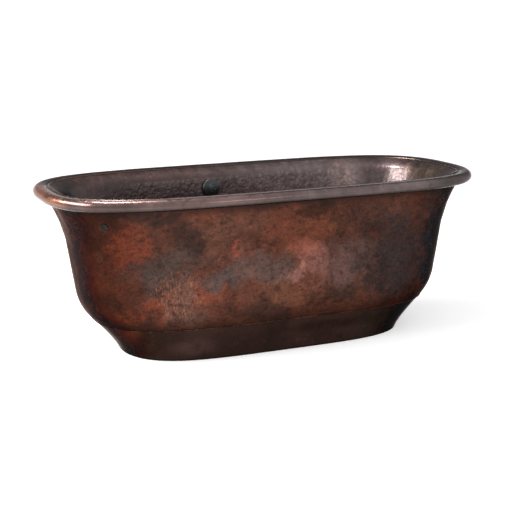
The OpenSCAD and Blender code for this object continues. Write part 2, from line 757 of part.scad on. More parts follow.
// Spiral cam: its radius grows evenly as the knob turns, and pushes the plunger down.
module overflow_cam() color("#b08d57")
    at_overflow() translate([0, 0, spigot_into - cam_t / 2])
        difference() {
            linear_extrude(cam_t)
                polygon(concat(
                    [for (a = [0 : 5 : knob_turn + 10])
                        (cam_r + lift * a / knob_turn) * [cos(-90 - a), sin(-90 - a)]],
                    [for (a = [knob_turn + 40 : 20 : 340]) cam_r * [cos(-90 - a), sin(-90 - a)]]));
            translate([0, 0, -1]) cylinder(h = cam_t + 2, r = spindle_r, $fn = 48);
        }

inner_basin();
outer_shell();
rolled_rim();
rim_rod();
plinth_skirt();
seam_bead();
maker_disc();
frame_rails();
cross_bearers();
saddle_pads();
frame_brackets();
frame_bolts();
frame_nuts();
foot_inserts();
foot_locknuts();
levelling_foot_front_left();
levelling_foot_front_right();
levelling_foot_back_left();
levelling_foot_back_right();
drain_flange();
drain_gasket();
drain_shoe();
stopper_cap();
stopper_seal();
stopper_stem();
push_wire();
cable_ferrule();
drive_cable();
cable_guide();
cam_plunger();
tailpiece();
tailpiece_nut();
tailpiece_washer();
overflow_hose();
hose_clips();
overflow_elbow();
overflow_gasket();
overflow_flange();
flange_screws();
overflow_knob();
knob_spindle();
overflow_cam();
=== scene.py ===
"""Looks of the freestanding copper bathtub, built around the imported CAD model.

Lengths are in millimetres in the shape code and are turned into metres when a mesh is made.
The shell, basin, rim and plinth repeat the outlines of the CAD part, with hand-worked surfaces.
"""

import json
import math

import bpy
import numpy as np
from mathutils import Matrix, Vector, kdtree


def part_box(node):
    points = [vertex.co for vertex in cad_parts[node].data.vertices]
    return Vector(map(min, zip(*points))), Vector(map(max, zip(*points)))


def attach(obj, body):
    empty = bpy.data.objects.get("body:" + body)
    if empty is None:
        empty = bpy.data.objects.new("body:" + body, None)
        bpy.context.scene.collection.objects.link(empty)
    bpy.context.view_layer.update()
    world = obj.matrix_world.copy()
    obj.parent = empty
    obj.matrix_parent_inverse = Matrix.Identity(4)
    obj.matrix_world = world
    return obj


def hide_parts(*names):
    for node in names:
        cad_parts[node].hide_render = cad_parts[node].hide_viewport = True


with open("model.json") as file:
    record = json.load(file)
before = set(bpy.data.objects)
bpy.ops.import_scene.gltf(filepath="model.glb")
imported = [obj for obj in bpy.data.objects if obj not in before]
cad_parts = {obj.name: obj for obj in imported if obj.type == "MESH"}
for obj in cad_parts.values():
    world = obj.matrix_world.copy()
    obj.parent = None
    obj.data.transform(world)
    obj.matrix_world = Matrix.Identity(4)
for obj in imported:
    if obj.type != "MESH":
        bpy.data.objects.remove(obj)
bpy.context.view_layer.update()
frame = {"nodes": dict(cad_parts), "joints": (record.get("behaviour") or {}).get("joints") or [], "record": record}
nodes = frame["nodes"]
joint = {j["name"]: j for j in frame["joints"]}
scene = bpy.context.scene

# ---------------------------------------------- sizes in mm, as the CAD part has them
MM = 0.001
SHEET_T = 1.6  # copper sheet
ROLL_D = 41  # height of the rolled edge
RIM_IN = 60  # from the rim's outer edge to the basin opening
LIP_DROP = 4  # from the top of the roll down to the flat lip
SHELL_TOP_A, SHELL_TOP_B = 798, 348  # half-axes of the shell under the rim
SEAM_A, FOOT_A = 658, 557  # half-lengths at the seam and on the floor
WIDTH_RATIO = 0.42  # change of half-width per change of half-length
BELLY_H = 115  # height over which the bottom of the shell rounds in
FLARE_OUT, FLARE_Z = 41, 405  # flare below the rim, and where it begins
WALL_LEAN, WALL_Z = 0.137, 227  # outward lean of the wall, and the height it is measured from
HEM_W = 20  # hems turned inward at the seam and at the floor
FLOOR_Z, FLOOR_FALL = 138, 6  # height of the basin floor, and its fall towards the drain
BASIN_STEP = 40  # inward step of the basin wall just below the lip
END_SLOPE, SIDE_SLOPE = 0.28, 0.12  # of the basin's walls, per unit of depth
BELLY_DROP, BELLY_END, BELLY_SIDE = 112, 130, 95  # turn of the basin walls into the floor
DRAIN_R = 45  # edge of the dished part of the floor
SPIGOT_Z = 98  # axis of the drain shoe's side spigot
HOSE_INTO = -20.5  # axis of the hose's upper end, behind the overflow plate
CORNER_PULL = 5.7  # degrees by which the points crowd into the rounded corners
RIM_N, FOOT_N, FLOOR_N = (2.95, 4.0), (2.5, 3.8), (2.5, 3.3)  # oblong exponents: ends, sides
INSET_N = 0.0032  # growth of both exponents per millimetre of inset
SHARP = 38.0  # edges bent by more degrees than this stay sharp


def corner(node):
    """Lowest and highest corner of a CAD node's box."""
    low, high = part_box(node)
    return np.array(low) / MM, np.array(high) / MM


rim_a, rim_b, tub_h = corner("rolled_rim")[1]
plinth_h = round(corner("plinth_skirt")[1][2], 3)
knob_pos = np.array(joint["knob_turn"]["pos_m"]) / MM
knob_axis = Vector(joint["knob_turn"]["axis"]).normalized()
waste_x = knob_pos[0]
shell_top = round(tub_h, 3) - ROLL_D
basin_top = round(tub_h, 3) - LIP_DROP - SHEET_T
basin_depth = basin_top - FLOOR_Z
wall_depth = basin_depth - BELLY_DROP
wall_a = SHELL_TOP_A - FLARE_OUT - WALL_LEAN * (shell_top - WALL_Z)
belly_in = wall_a + WALL_LEAN * (plinth_h - WALL_Z) - SEAM_A


# ---------------------------------------------------------------- shape helpers
def smooth(v):
    v = np.clip(v, 0, 1)
    return v * v * (3 - 2 * v)


def mix(a, b, w):
    return a + (b - a) * w


def directions(n):
    """n directions round the plan, crowded into the rounded corners."""
    p = np.linspace(0, 360, n, endpoint=False)
    return np.radians(p + CORNER_PULL * np.sin(np.radians(4 * p)))


def circle(n):
    return np.linspace(0, 2 * np.pi, n, endpoint=False)


def oblong(th, a, b, z, end_n, side_n):
    """Points of a rounded oblong with half-axes a and b at height z, in the directions th."""
    c, s = np.cos(th), np.sin(th)
    e = end_n + (side_n - end_n) * s * s
    r = (np.abs(c) ** e + np.abs(s) ** e) ** (-1 / e)
    return np.stack([a * r * c, b * r * s, np.full(len(th), float(z))], 1)


def shell_a(z):
    t = np.clip((z - plinth_h) / BELLY_H, 0, 1)
    u = np.clip((z - FLARE_Z) / (shell_top - FLARE_Z), 0, 1)
    return wall_a + WALL_LEAN * (z - WALL_Z) - belly_in * (1 - t) ** 2.7 + FLARE_OUT * u**1.8


def body_a(z):
    return shell_a(z) if z > plinth_h else mix(FOOT_A, SEAM_A, (max(z, 0) / plinth_h) ** 1.24)


def body_points(th, z, inset):
    """Points of the outer surface of the shell and plinth at height z."""
    a = body_a(z)
    b = SHELL_TOP_B - WIDTH_RATIO * (SHELL_TOP_A - a)
    w = z / shell_top
    end_n, side_n = (mix(foot, rim, w) for foot, rim in zip(FOOT_N, RIM_N))
    return oblong(th, a - inset, b - inset, z, end_n, side_n)


def body_ring(z, inset, n):
    return body_points(directions(n), z, inset)


def rim_ring(inset, z, n):
    end_n, side_n = (e + INSET_N * inset for e in RIM_N)
    return oblong(directions(n), rim_a - inset, rim_b - inset, z, end_n, side_n)


def basin_ring(t, in_end, in_side, off_in, off_down, n):
    """A ring of the basin at depth t; the offsets give the sheet's other face."""
    w = min(max(t / basin_depth, 0), 1)
    end_n, side_n = (mix(e + INSET_N * RIM_IN, flat, w) for e, flat in zip(RIM_N, FLOOR_N))
    a = rim_a - RIM_IN - in_end + off_in
    b = rim_b - RIM_IN - in_side + off_in
    return oblong(directions(n), a, b, basin_top - t - off_down, end_n, side_n)


def basin_wall(t, off, n):
    step = BASIN_STEP * (1 - (1 - min(t / BASIN_STEP, 1)) ** 2)
    rate = (2 * (1 - t / BASIN_STEP) if t < BASIN_STEP else 0) + SIDE_SLOPE
    slant = math.hypot(1, rate)
    out, down = (off, 0) if t == 0 else (off / slant, off * rate / slant)
    return basin_ring(t, step + END_SLOPE * t, step + SIDE_SLOPE * t, out, down, n)


def basin_belly(phi, off, n):
    c, s = math.cos(phi), math.sin(phi)
    t = wall_depth + BELLY_DROP * s
    in_end = BASIN_STEP + END_SLOPE * t + BELLY_END * (1 - c)
    in_side = BASIN_STEP + SIDE_SLOPE * t + BELLY_SIDE * (1 - c)
    return basin_ring(t, in_end, in_side, off * c, off * s, n)


def basin_floor(w, off, n):
    edge = basin_belly(math.pi / 2, off, n)
    th = directions(n)
    dish = [waste_x + DRAIN_R * np.cos(th), DRAIN_R * np.sin(th), np.full(n, FLOOR_Z - off)]
    ring = mix(edge, np.stack(dish, 1), w)
    ring[:, 2] -= FLOOR_FALL * np.interp(w, [0, 0.45, 0.72, 1], [0, 0, 0.45, 1])
    return ring


def normals_of(rings):
    """Unit normals of a grid of rings."""
    around = np.roll(rings, -1, 1) - np.roll(rings, 1, 1)
    along = np.gradient(rings, axis=0)
    n = np.cross(around, along)
    return n / np.maximum(np.linalg.norm(n, axis=-1, keepdims=True), 1e-9)


def waves(points, size, seed, count=26):
    """Smooth, seeded, even unevenness about size mm across, roughly -1 to 1."""
    rng = np.random.default_rng(seed)
    d = rng.normal(size=(count, 3))
    d /= np.linalg.norm(d, axis=1, keepdims=True)
    k = d * (2 * np.pi / (size * rng.uniform(0.7, 1.6, (count, 1))))
    phase = rng.uniform(0, 2 * np.pi, count)
    flat = points.reshape(-1, 3)
    out = np.zeros(len(flat))
    for i in range(count):
        out += np.cos(flat @ k[i] + phase[i])
    return (out / math.sqrt(count / 2) / 1.6).reshape(points.shape[:-1])


def hammer_marks(rings, spacing, seed):
    """0 at the middle of each hammer mark to 1 where it meets the next one."""
    rng = np.random.default_rng(seed)
    down = np.linalg.norm(np.diff(rings, axis=0), axis=-1).mean(1)
    length = np.r_[0, np.cumsum(down)]
    rows = max(int(length[-1] / spacing), 1)
    blows = []
    for k in range(rows):
        f = np.interp((k + 0.5) * length[-1] / rows, length, np.arange(len(length)))
        i = min(int(f), len(rings) - 2)
        ring = mix(rings[i], rings[i + 1], f - i)
        closed = np.vstack([ring, ring[:1]])
        arc = np.r_[0, np.cumsum(np.linalg.norm(np.diff(closed, axis=0), axis=1))]
        count = max(int(arc[-1] / spacing), 3)
        at = (np.arange(count) + rng.uniform(-0.36, 0.36, count) + rng.uniform()) * arc[-1] / count
        at = np.mod(at, arc[-1])
        p = np.stack([np.interp(at, arc, closed[:, c]) for c in range(3)], 1)
        p[:, 2] += rng.uniform(-0.3, 0.3, count) * spacing * 0.6
        blows.append(p)
    blows = np.vstack(blows)
    tree = kdtree.KDTree(len(blows))
    for i, p in enumerate(blows):
        tree.insert(p, i)
    tree.balance()
    d = np.array([tree.find(p)[2] for p in rings.reshape(-1, 3)])
    return np.clip(d / (0.62 * spacing), 0, 1.15).reshape(rings.shape[:-1])


def link(name, verts, faces):
    """An object in the scene from points in mm and faces, smooth but for its sharp edges."""
    mesh = bpy.data.meshes.new(name)
    mesh.from_pydata((np.asarray(verts, float) * MM).tolist(), [], [list(f) for f in faces])
    mesh.validate()
    mesh.polygons.foreach_set("use_smooth", [True] * len(mesh.polygons))
    mesh.set_sharp_from_angle(angle=math.radians(SHARP))
    obj = bpy.data.objects.new(name, mesh)
    scene.collection.objects.link(obj)
    return obj


def band(name, rings, closed=True):
    """A closed sheet or bar swept round: rings of one section, of shape (section, around, 3)."""
    m, n = rings.shape[:2]
    k = np.arange(m if closed else m - 1)[:, None]
    i = np.arange(n)[None, :]
    j, k2 = (i + 1) % n, (k + 1) % m
    quads = np.stack([k * n + i, k * n + j, k2 * n + j, k2 * n + i], -1).reshape(-1, 4)
    verts = rings.reshape(-1, 3)
    p = verts[quads]
    volume = sum(np.einsum("ij,ij->", p[:, 0], np.cross(p[:, c], p[:, c + 1])) for c in (1, 2))
    if volume < 0:
        quads = quads[:, ::-1]
    return link(name, verts, quads.tolist())


def lathe(name, profile, place=None, n=96):
    """A turned piece: profile is [(radius, height)] from one end on the axis round to the other."""
    verts, rows = [], []
    for r, z in np.array(profile, float):
        if r < 1e-6:
            rows.append([len(verts)] * n)
            verts.append((0, 0, z))
        else:
            rows.append(list(range(len(verts), len(verts) + n)))
            verts += [(r * math.cos(a), r * math.sin(a), z) for a in circle(n)]
    verts = np.array(verts, float)
    faces, volume = [], 0.0
    for a, b in zip(rows, rows[1:]):
        for i in range(n):
            j = (i + 1) % n
            f = [a[i], a[j], b[j], b[i]]
            f = [x for x, y in zip(f, f[1:] + f[:1]) if x != y]
            if len(set(f)) < 3:
                continue
            faces.append(f)
            for k in range(1, len(f) - 1):
                volume += verts[f[0]] @ np.cross(verts[f[k]], verts[f[k + 1]])
    if volume < 0:
        faces = [f[::-1] for f in faces]
    obj = link(name, verts, faces)
    if place is not None:
        obj.data.transform(place)
    return obj


def rounded(profile, r=0.6, steps=3):
    """A profile with each inner corner rounded."""
    pts = [np.array(p, float) for p in profile]
    out = [tuple(pts[0])]
    for a, b, c in zip(pts, pts[1:], pts[2:]):
        u, v = a - b, c - b
        lu, lv = np.linalg.norm(u), np.linalg.norm(v)
        cut = min(r, lu * 0.45, lv * 0.45)
        p, q = b + u / lu * cut, b + v / lv * cut
        for w in np.arange(steps + 1) / steps:
            out.append(tuple((1 - w) ** 2 * p + 2 * w * (1 - w) * b + w * w * q))
    out.append(tuple(pts[-1]))
    return out


def joined(name, objs):
    """Several meshes as one piece."""
    verts, faces = [], []
    for obj in objs:
        mesh = obj.data
        faces += [[len(verts) + i for i in p.vertices] for p in mesh.polygons]
        verts += [tuple(v.co) for v in mesh.vertices]
        bpy.data.objects.remove(obj)
        bpy.data.meshes.remove(mesh)
    return link(name, np.array(verts) / MM, faces)


# -------------------------------------------------------------- material helpers
def srgb(r, g, b):
    def lin(c):
        c /= 255
        return c / 12.92 if c <= 0.04045 else ((c + 0.055) / 1.055) ** 2.4
    return (lin(r), lin(g), lin(b), 1.0)


class Paint:
    """A short way to lay out a material's nodes."""

    def __init__(self, name):
        self.mat = bpy.data.materials.new(name)
        self.mat.use_nodes = True
        self.tree = self.mat.node_tree
        self.tree.nodes.clear()
        self.out = self.tree.nodes.new("ShaderNodeOutputMaterial")
        self.co = self.tree.nodes.new("ShaderNodeTexCoord").outputs["Object"]

    def node(self, kind, inputs=None, **props):
        n = self.tree.nodes.new("ShaderNode" + kind)
        for k, v in props.items():
            setattr(n, k, v)
        for k, v in (inputs or {}).items():
            if isinstance(v, bpy.types.NodeSocket):
                self.tree.links.new(v, n.inputs[k])
            else:
                n.inputs[k].default_value = v
        return n

    def vector(self, op, a, b):
        return self.node("VectorMath", {0: a, 1: b}, operation=op).outputs[0]

    def scaled(self, vec, factor):
        return self.vector("MULTIPLY", vec, factor)

    def noise(self, vec, scale, detail=4.0, rough=0.55, warp=0.0, out="Fac"):
        return self.node("TexNoise", {"Vector": vec, "Scale": scale, "Detail": detail,
                                      "Roughness": rough, "Distortion": warp}).outputs[out]

    def cells(self, scale):
        """Rounded cells, for small hammer marks."""
        return self.node("TexVoronoi", {"Vector": self.co, "Scale": scale},
                         feature="SMOOTH_F1").outputs["Distance"]

    def math(self, op, a, b):
        return self.node("Math", {0: a, 1: b}, operation=op).outputs[0]

    def ramp(self, value, low, high, to_low=0.0, to_high=1.0):
        return self.node("MapRange", {"Value": value, "From Min": low, "From Max": high,
                                      "To Min": to_low, "To Max": to_high},
                         interpolation_type="SMOOTHSTEP").outputs[0]

    def blend(self, factor, a, b, mode="MIX"):
        return self.node("Mix", {0: factor, 6: a, 7: b}, data_type="RGBA", blend_type=mode,
                         clamp_factor=True).outputs[2]

    def times(self, colour, r, g, b):
        return self.blend(1.0, colour, (r, g, b, 1.0), "MULTIPLY")

    def layered(self, colour, *layers):
        """Colours laid over one another, each as (mask, low, high, strength, colour)."""
        for mask, low, high, strength, other in layers:
            colour = self.blend(self.ramp(mask, low, high, 0.0, strength), colour, other)
        return colour

    def axis(self, k):
        return self.node("SeparateXYZ", {0: self.co}).outputs[k]

    def edge(self):
        return self.node("NewGeometry").outputs["Pointiness"]

    def bump(self, height, strength, distance, after=None):
        inputs = {"Height": height, "Strength": strength, "Distance": distance}
        if after is not None:
            inputs["Normal"] = after
        return self.node("Bump", inputs).outputs[0]

    def roughness(self, broad, low, high, fine, start, fine_low, fine_high):
        """Roughness that drifts with a broad noise, with a finer one added."""
        return self.math("ADD", self.ramp(broad, 0.3, 0.7, low, high),
                         self.ramp(fine, start, 0.7, fine_low, fine_high))

    def patch(self, vec, colour, centre, size, tint, strength, breakup, ragged=None):
        """A patch of another colour round a point, broken up by a noise, with a soft or torn edge."""
        rel = self.scaled(self.vector("SUBTRACT", vec, centre), tuple(1 / s for s in size))
        far = self.node("VectorMath", {0: rel}, operation="LENGTH").outputs["Value"]
        if ragged is None:
            near = self.ramp(far, 1.15, 0.25, 0.0, strength)
        else:
            near = self.ramp(self.math("ADD", far, ragged), 1.15, 0.35, 0.0, strength)
        return self.blend(self.math("MULTIPLY", near, breakup), colour, tint)

    def finish(self, **inputs):
        shader = self.node("BsdfPrincipled", {k.replace("_", " "): v for k, v in inputs.items()})
        self.tree.links.new(shader.outputs[0], self.out.inputs[0])
        return self.mat


# ------------------------------------------------------------------ the finishes
RED = srgb(107, 54, 38)
ORANGE = srgb(112, 62, 44)
PINK = srgb(142, 92, 82)
BROWN = srgb(84, 50, 40)
GREY = srgb(90, 72, 67)
CLOUD = srgb(64, 53, 49)
SOOT = srgb(46, 34, 31)
CHAR = srgb(50, 43, 43)

WALL_Y = 0.31  # distance of the long sides from the middle, in metres
PATCH_DEPTH = 0.28  # how far a patch reaches through the tub's width, in metres

# Patches of the fired finish on the front, with a few of painted shade and painted sheen, in metres: along,
# height, half-width, half-height, colour, strength. Later ones lie over earlier ones.
FRONT = [
    # the first two are painted shade on the left end
    (-0.72, 0.42, 0.15, 0.28, srgb(48, 26, 18), 0.95),
    (-0.70, 0.23, 0.11, 0.17, srgb(44, 23, 15), 0.95),
    (-0.61, 0.44, 0.075, 0.095, RED, 0.95),
    (-0.66, 0.33, 0.07, 0.10, srgb(78, 40, 28), 0.85),
    (-0.50, 0.54, 0.14, 0.045, SOOT, 0.9),
    (-0.50, 0.34, 0.10, 0.115, CLOUD, 0.95),
    (-0.42, 0.40, 0.10, 0.06, srgb(82, 66, 60), 0.7),
    (-0.43, 0.24, 0.12, 0.085, srgb(106, 75, 65), 0.85),
    (-0.52, 0.22, 0.06, 0.05, RED, 0.95),
    (-0.38, 0.17, 0.12, 0.03, srgb(86, 66, 60), 0.7),
    (-0.60, 0.20, 0.10, 0.045, srgb(100, 52, 36), 0.9),
    (-0.33, 0.25, 0.075, 0.05, srgb(120, 66, 50), 0.9),
    (-0.26, 0.39, 0.12, 0.06, srgb(100, 64, 54), 0.85),
    (-0.22, 0.42, 0.025, 0.03, srgb(132, 64, 54), 0.8),
    (-0.26, 0.30, 0.10, 0.045, srgb(84, 72, 69), 0.9),
    (-0.28, 0.49, 0.19, 0.075, srgb(100, 66, 53), 0.75),
    (-0.12, 0.33, 0.14, 0.085, GREY, 0.8),
    (0.02, 0.47, 0.20, 0.075, srgb(98, 56, 42), 0.85),
    (0.07, 0.35, 0.09, 0.07, PINK, 0.6),
    (0.03, 0.40, 0.09, 0.035, srgb(124, 74, 60), 0.7),
    (0.11, 0.31, 0.06, 0.05, srgb(122, 84, 76), 0.7),
    (-0.05, 0.28, 0.05, 0.035, srgb(122, 92, 82), 0.8),
    (-0.04, 0.24, 0.16, 0.045, srgb(104, 66, 50), 0.85),
    (0.22, 0.30, 0.12, 0.12, srgb(96, 73, 68), 0.85),
    (0.43, 0.33, 0.19, 0.24, CHAR, 0.95),
    (0.30, 0.51, 0.16, 0.06, srgb(66, 45, 39), 0.8),
    (0.26, 0.25, 0.035, 0.03, srgb(98, 60, 48), 0.85),
    (0.31, 0.42, 0.03, 0.03, srgb(84, 45, 37), 0.8),
    (0.42, 0.50, 0.05, 0.03, srgb(80, 52, 43), 0.7),
    (0.66, 0.33, 0.14, 0.27, srgb(44, 40, 42), 0.95),
    # a painted sheen on the flare at the right end
    (0.74, 0.50, 0.06, 0.11, srgb(112, 86, 78), 0.8),
    (-0.40, 0.47, 0.075, 0.085, SOOT, 0.85),
    (0.06, 0.53, 0.10, 0.035, srgb(48, 31, 25), 0.8),
    (0.18, 0.22, 0.16, 0.045, srgb(46, 33, 28), 0.75),
    (0.29, 0.45, 0.06, 0.045, srgb(50, 36, 33), 0.7),
    (0.35, 0.27, 0.06, 0.07, srgb(44, 36, 35), 0.75),
    (-0.50, 0.28, 0.04, 0.035, SOOT, 0.75),
    (-0.62, 0.28, 0.055, 0.05, srgb(76, 42, 30), 0.75),
    (0.02, 0.31, 0.035, 0.035, srgb(140, 98, 90), 0.7),
    (-0.12, 0.18, 0.13, 0.04, srgb(60, 43, 37), 0.75),
    (-0.37, 0.38, 0.05, 0.05, srgb(70, 48, 42), 0.7),
]

# Colours of the patches on the far side, from the left end to the right, and their heights in turn.
BACK = [RED, CLOUD, GREY, ORANGE, BROWN, CHAR, PINK, CLOUD, RED, SOOT, ORANGE, GREY, CHAR, BROWN]
BACK_HEIGHTS = (0.25, 0.46, 0.34)


def fired_and_painted_light_patches(p, vec, colour, breakup, ragged):
    for x, z, w, h, tint, strength in FRONT:
        colour = p.patch(vec, colour, (x, -WALL_Y, z), (w, PATCH_DEPTH, h), tint, strength,
                         breakup, ragged)
    rng = np.random.default_rng(11)
    for k, tint in enumerate(BACK):
        x = -0.66 + 1.32 * (k + 0.5) / len(BACK) + rng.uniform(-0.05, 0.05)
        z = BACK_HEIGHTS[k % 3] + rng.uniform(-0.04, 0.04)
        size = (rng.uniform(0.08, 0.15), PATCH_DEPTH, rng.uniform(0.06, 0.12))
        colour = p.patch(vec, colour, (x, WALL_Y, z), size, tint, 0.85, breakup, ragged)
    return colour


def copper_body():
    """The fired shell: torn patches of colour, mottled, pitted and scuffed, with painted shade on the left end,
    where the belly turns under and below the rim, and a painted sheen at the right end.
    """
    p = Paint("fired_copper")
    x, z = p.axis(0), p.axis(2)
    swirl = p.vector("SUBTRACT", p.noise(p.co, 6.5, 6.0, 0.65, 0.0, "Color"), (0.5, 0.5, 0.5))
    vec = p.vector("ADD", p.co, p.scaled(swirl, (0.30, 0.05, 0.24)))
    broad = p.noise(p.co, 4.2, 6.0, 0.62, 0.4)
    mid = p.noise(p.co, 17.0, 7.0, 0.66, 0.6)
    fine = p.noise(p.co, 75.0, 5.0, 0.7)
    torn = p.noise(p.co, 24.0, 8.0, 0.72, 0.5)
    ragged = p.math("MULTIPLY", p.math("SUBTRACT", torn, 0.5), 1.5)
    breakup = p.ramp(mid, 0.22, 0.58, 0.55, 1.0)
    colour = p.blend(p.ramp(broad, 0.36, 0.62), srgb(66, 42, 35), srgb(96, 56, 43))
    colour = fired_and_painted_light_patches(p, vec, colour, breakup, ragged)

    # a worn place near the left end, speckled pale and dark
    speckle = p.noise(p.scaled(p.co, (1.0, 1.0, 0.35)), 165.0, 4.0, 0.7)
    for tint, strength, low, high in ((srgb(140, 94, 76), 0.6, 0.50, 0.64),
                                      (srgb(58, 40, 34), 0.6, 0.48, 0.34)):
        colour = p.patch(vec, colour, (-0.44, -WALL_Y, 0.25), (0.13, PATCH_DEPTH, 0.10), tint,
                         strength, p.ramp(speckle, low, high), ragged)

    # mottling, dark pits, a fine grain, and slanting and level strokes of rubbing
    lit, dim = p.times(colour, 1.75, 1.6, 1.55), p.times(colour, 0.42, 0.45, 0.48)
    pits = p.noise(p.co, 52.0, 8.0, 0.78, 0.8)
    grain = p.noise(p.co, 210.0, 3.0, 0.7)
    slanted = p.node("Mapping", {"Vector": p.co, "Rotation": (0.0, 0.5, 0.0),
                                 "Scale": (42.0, 60.0, 84.0)}).outputs[0]
    strokes = p.noise(slanted, 1.0, 4.0, 0.7)
    rubbed = p.noise(p.scaled(p.co, (1.0, 1.0, 9.0)), 38.0, 4.0, 0.7)
    colour = p.layered(
        colour,
        (mid, 0.51, 0.66, 0.75, lit), (mid, 0.47, 0.34, 0.85, dim), (pits, 0.54, 0.64, 0.85, dim),
        (fine, 0.54, 0.68, 0.6, lit), (fine, 0.45, 0.33, 0.6, dim),
        (grain, 0.52, 0.66, 0.35, lit), (grain, 0.48, 0.34, 0.4, dim),
        (strokes, 0.54, 0.66, 0.7, dim), (strokes, 0.44, 0.32, 0.45, lit),
        (rubbed, 0.60, 0.72, 0.35, dim))

    # painted shade where the belly turns under and below the rim, then painted shade on the left end, also warmer,
    # and a cooler painted grey sheen on the right end
    colour = p.layered(colour, (z, 0.185, 0.132, 0.5, srgb(34, 22, 18)),
                       (z, 0.535, 0.572, 0.75, srgb(34, 25, 22)))
    colour = p.times(colour, 0.63, 0.63, 0.62)
    # painted shade on the left end, made warmer too
    colour = p.layered(colour, (x, -0.53, -0.66, 1.0, p.times(colour, 0.74, 0.66, 0.60)))
    # a painted grey sheen on the right end, made cooler
    colour = p.layered(colour, (x, 0.50, 0.62, 1.0, p.times(colour, 0.85, 1.3, 1.6)))
    normal = p.bump(p.noise(p.co, 26.0, 3.0, 0.5), 0.22, 0.004)
    return p.finish(Base_Color=colour, Metallic=1.0, Normal=p.bump(fine, 0.12, 0.0012, normal),
                    Roughness=p.roughness(mid, 0.26, 0.42, fine, 0.3, -0.04, 0.07),
                    Specular_Tint=(0.30, 0.19, 0.14, 1.0), Coat_Weight=0.05, Coat_Roughness=0.2)


def copper_basin():
    """The hammered inside: mauve-brown, streaked, greenish at the ends, darker low down, with painted shade on its
    left part and its right end and painted highlights on the far wall.
    """
    p = Paint("hammered_copper")
    x, z = p.axis(0), p.axis(2)
    broad = p.noise(p.co, 3.4, 5.0, 0.6, 0.3)
    mid = p.noise(p.co, 24.0, 6.0, 0.65)
    streak = p.noise(p.scaled(p.co, (1.0, 1.0, 0.16)), 34.0, 5.0, 0.6)
    marks = p.cells(72.0)
    colour = p.layered(
        p.blend(p.ramp(broad, 0.35, 0.66), srgb(78, 62, 60), srgb(104, 86, 82)),
        (streak, 0.45, 0.70, 0.45, srgb(120, 100, 94)), (streak, 0.48, 0.30, 0.45, srgb(58, 46, 46)),
        (marks, 0.30, 0.62, 0.35, srgb(54, 42, 42)), (mid, 0.55, 0.74, 0.35, srgb(140, 112, 98)))
    colour = p.patch(p.co, colour, (-0.72, 0.17, 0.56), (0.10, 0.12, 0.05), srgb(52, 58, 50), 0.8,
                     p.ramp(mid, 0.3, 0.55, 0.4, 1.0))
    colour = p.patch(p.co, colour, (0.74, -0.02, 0.57), (0.10, 0.16, 0.06), srgb(112, 92, 70), 0.6,
                     p.ramp(mid, 0.3, 0.55, 0.5, 1.0))
    # painted light and shade: the left part of the basin in painted shade, the right part lit, and the right end
    # past the highlight in painted shade again
    dim, lit = p.times(colour, 0.30, 0.22, 0.22), p.times(colour, 0.90, 0.98, 1.04)
    colour = p.blend(p.ramp(x, -0.25, 0.42), dim, lit)
    colour = p.layered(colour, (x, 0.66, 0.76, 0.6, dim))

    # on the far wall, painted highlights on both sides of a band of painted shade: a faint highlight, then the
    # bright one
    far_side = p.ramp(p.axis(1), 0.05, 0.15)
    pale, painted_shade_band = p.times(colour, 1.35, 1.25, 1.2), p.times(colour, 0.50, 0.44, 0.44)
    for tone, start, end in ((pale, 0.455, 0.54), (painted_shade_band, 0.57, 0.67), (pale, 0.69, 0.75)):
        stretch = p.math("MULTIPLY", p.ramp(x, start - 0.03, start + 0.03),
                         p.ramp(x, end + 0.02, end - 0.02))
        colour = p.blend(p.math("MULTIPLY", stretch, far_side), colour, tone)
    colour = p.layered(colour, (z, 0.30, 0.14, 0.55, srgb(56, 40, 38)))
    normal = p.bump(p.cells(150.0), 0.4, 0.0008, p.bump(marks, 0.45, 0.0016))
    return p.finish(Base_Color=colour, Metallic=1.0, Normal=normal, Coat_Normal=normal,
                    Roughness=p.roughness(mid, 0.32, 0.46, marks, 0.2, -0.03, 0.08),
                    Specular_Tint=(0.34, 0.30, 0.29, 1.0), Coat_Weight=0.55, Coat_Roughness=0.25)


def copper_rim():
    """The rubbed rim: warm at the left end with a painted sheen on its tip, painted shade to the right, at the
    back, under the roll and in its creases, and rubbed edges painted pale as a highlight line.
    """
    p = Paint("rim_copper")
    x, y, z = (p.axis(k) for k in range(3))
    broad = p.noise(p.co, 5.0, 5.0, 0.6, 0.4)
    mid = p.noise(p.co, 30.0, 6.0, 0.68)
    marks = p.cells(66.0)
    edge = p.edge()
    colour = p.layered(
        p.blend(p.ramp(broad, 0.36, 0.64), srgb(78, 65, 64), srgb(108, 93, 93)),
        (mid, 0.46, 0.28, 0.6, srgb(62, 48, 44)), (mid, 0.56, 0.74, 0.5, srgb(136, 110, 98)))
    # warmer to the left; the roll's left tip is painted brighter, a painted sheen
    colour = p.layered(colour, (x, 0.2, -0.35, 1.0, p.times(colour, 0.90, 0.76, 0.70)),
                       (x, -0.785, -0.835, 0.9, srgb(164, 114, 92)))
    # painted shade to the right, under the roll and in the creases; the convex edges painted pale, as rubbed edges
    # and a painted highlight line
    shade = p.times(colour, 0.42, 0.45, 0.46)
    colour = p.layered(colour, (x, 0.25, 0.75, 1.0, shade),
                       (z, 0.603, 0.579, 0.85, srgb(36, 27, 25)),
                       (edge, 0.52, 0.60, 0.6, srgb(176, 146, 130)),
                       (edge, 0.48, 0.42, 0.85, srgb(34, 26, 24)))
    # painted shade on the back of the rim
    colour = p.layered(colour, (y, 0.15, 0.33, 1.0, p.times(colour, 0.30, 0.27, 0.26)))
    normal = p.bump(p.noise(p.co, 190.0, 3.0, 0.6), 0.08, 0.0005, p.bump(marks, 0.28, 0.0012))
    return p.finish(Base_Color=colour, Metallic=1.0, Normal=normal,
                    Roughness=p.roughness(mid, 0.22, 0.38, marks, 0.2, -0.02, 0.06),
                    Specular_Tint=(0.42, 0.37, 0.36, 1.0), Coat_Weight=0.4, Coat_Roughness=0.12)


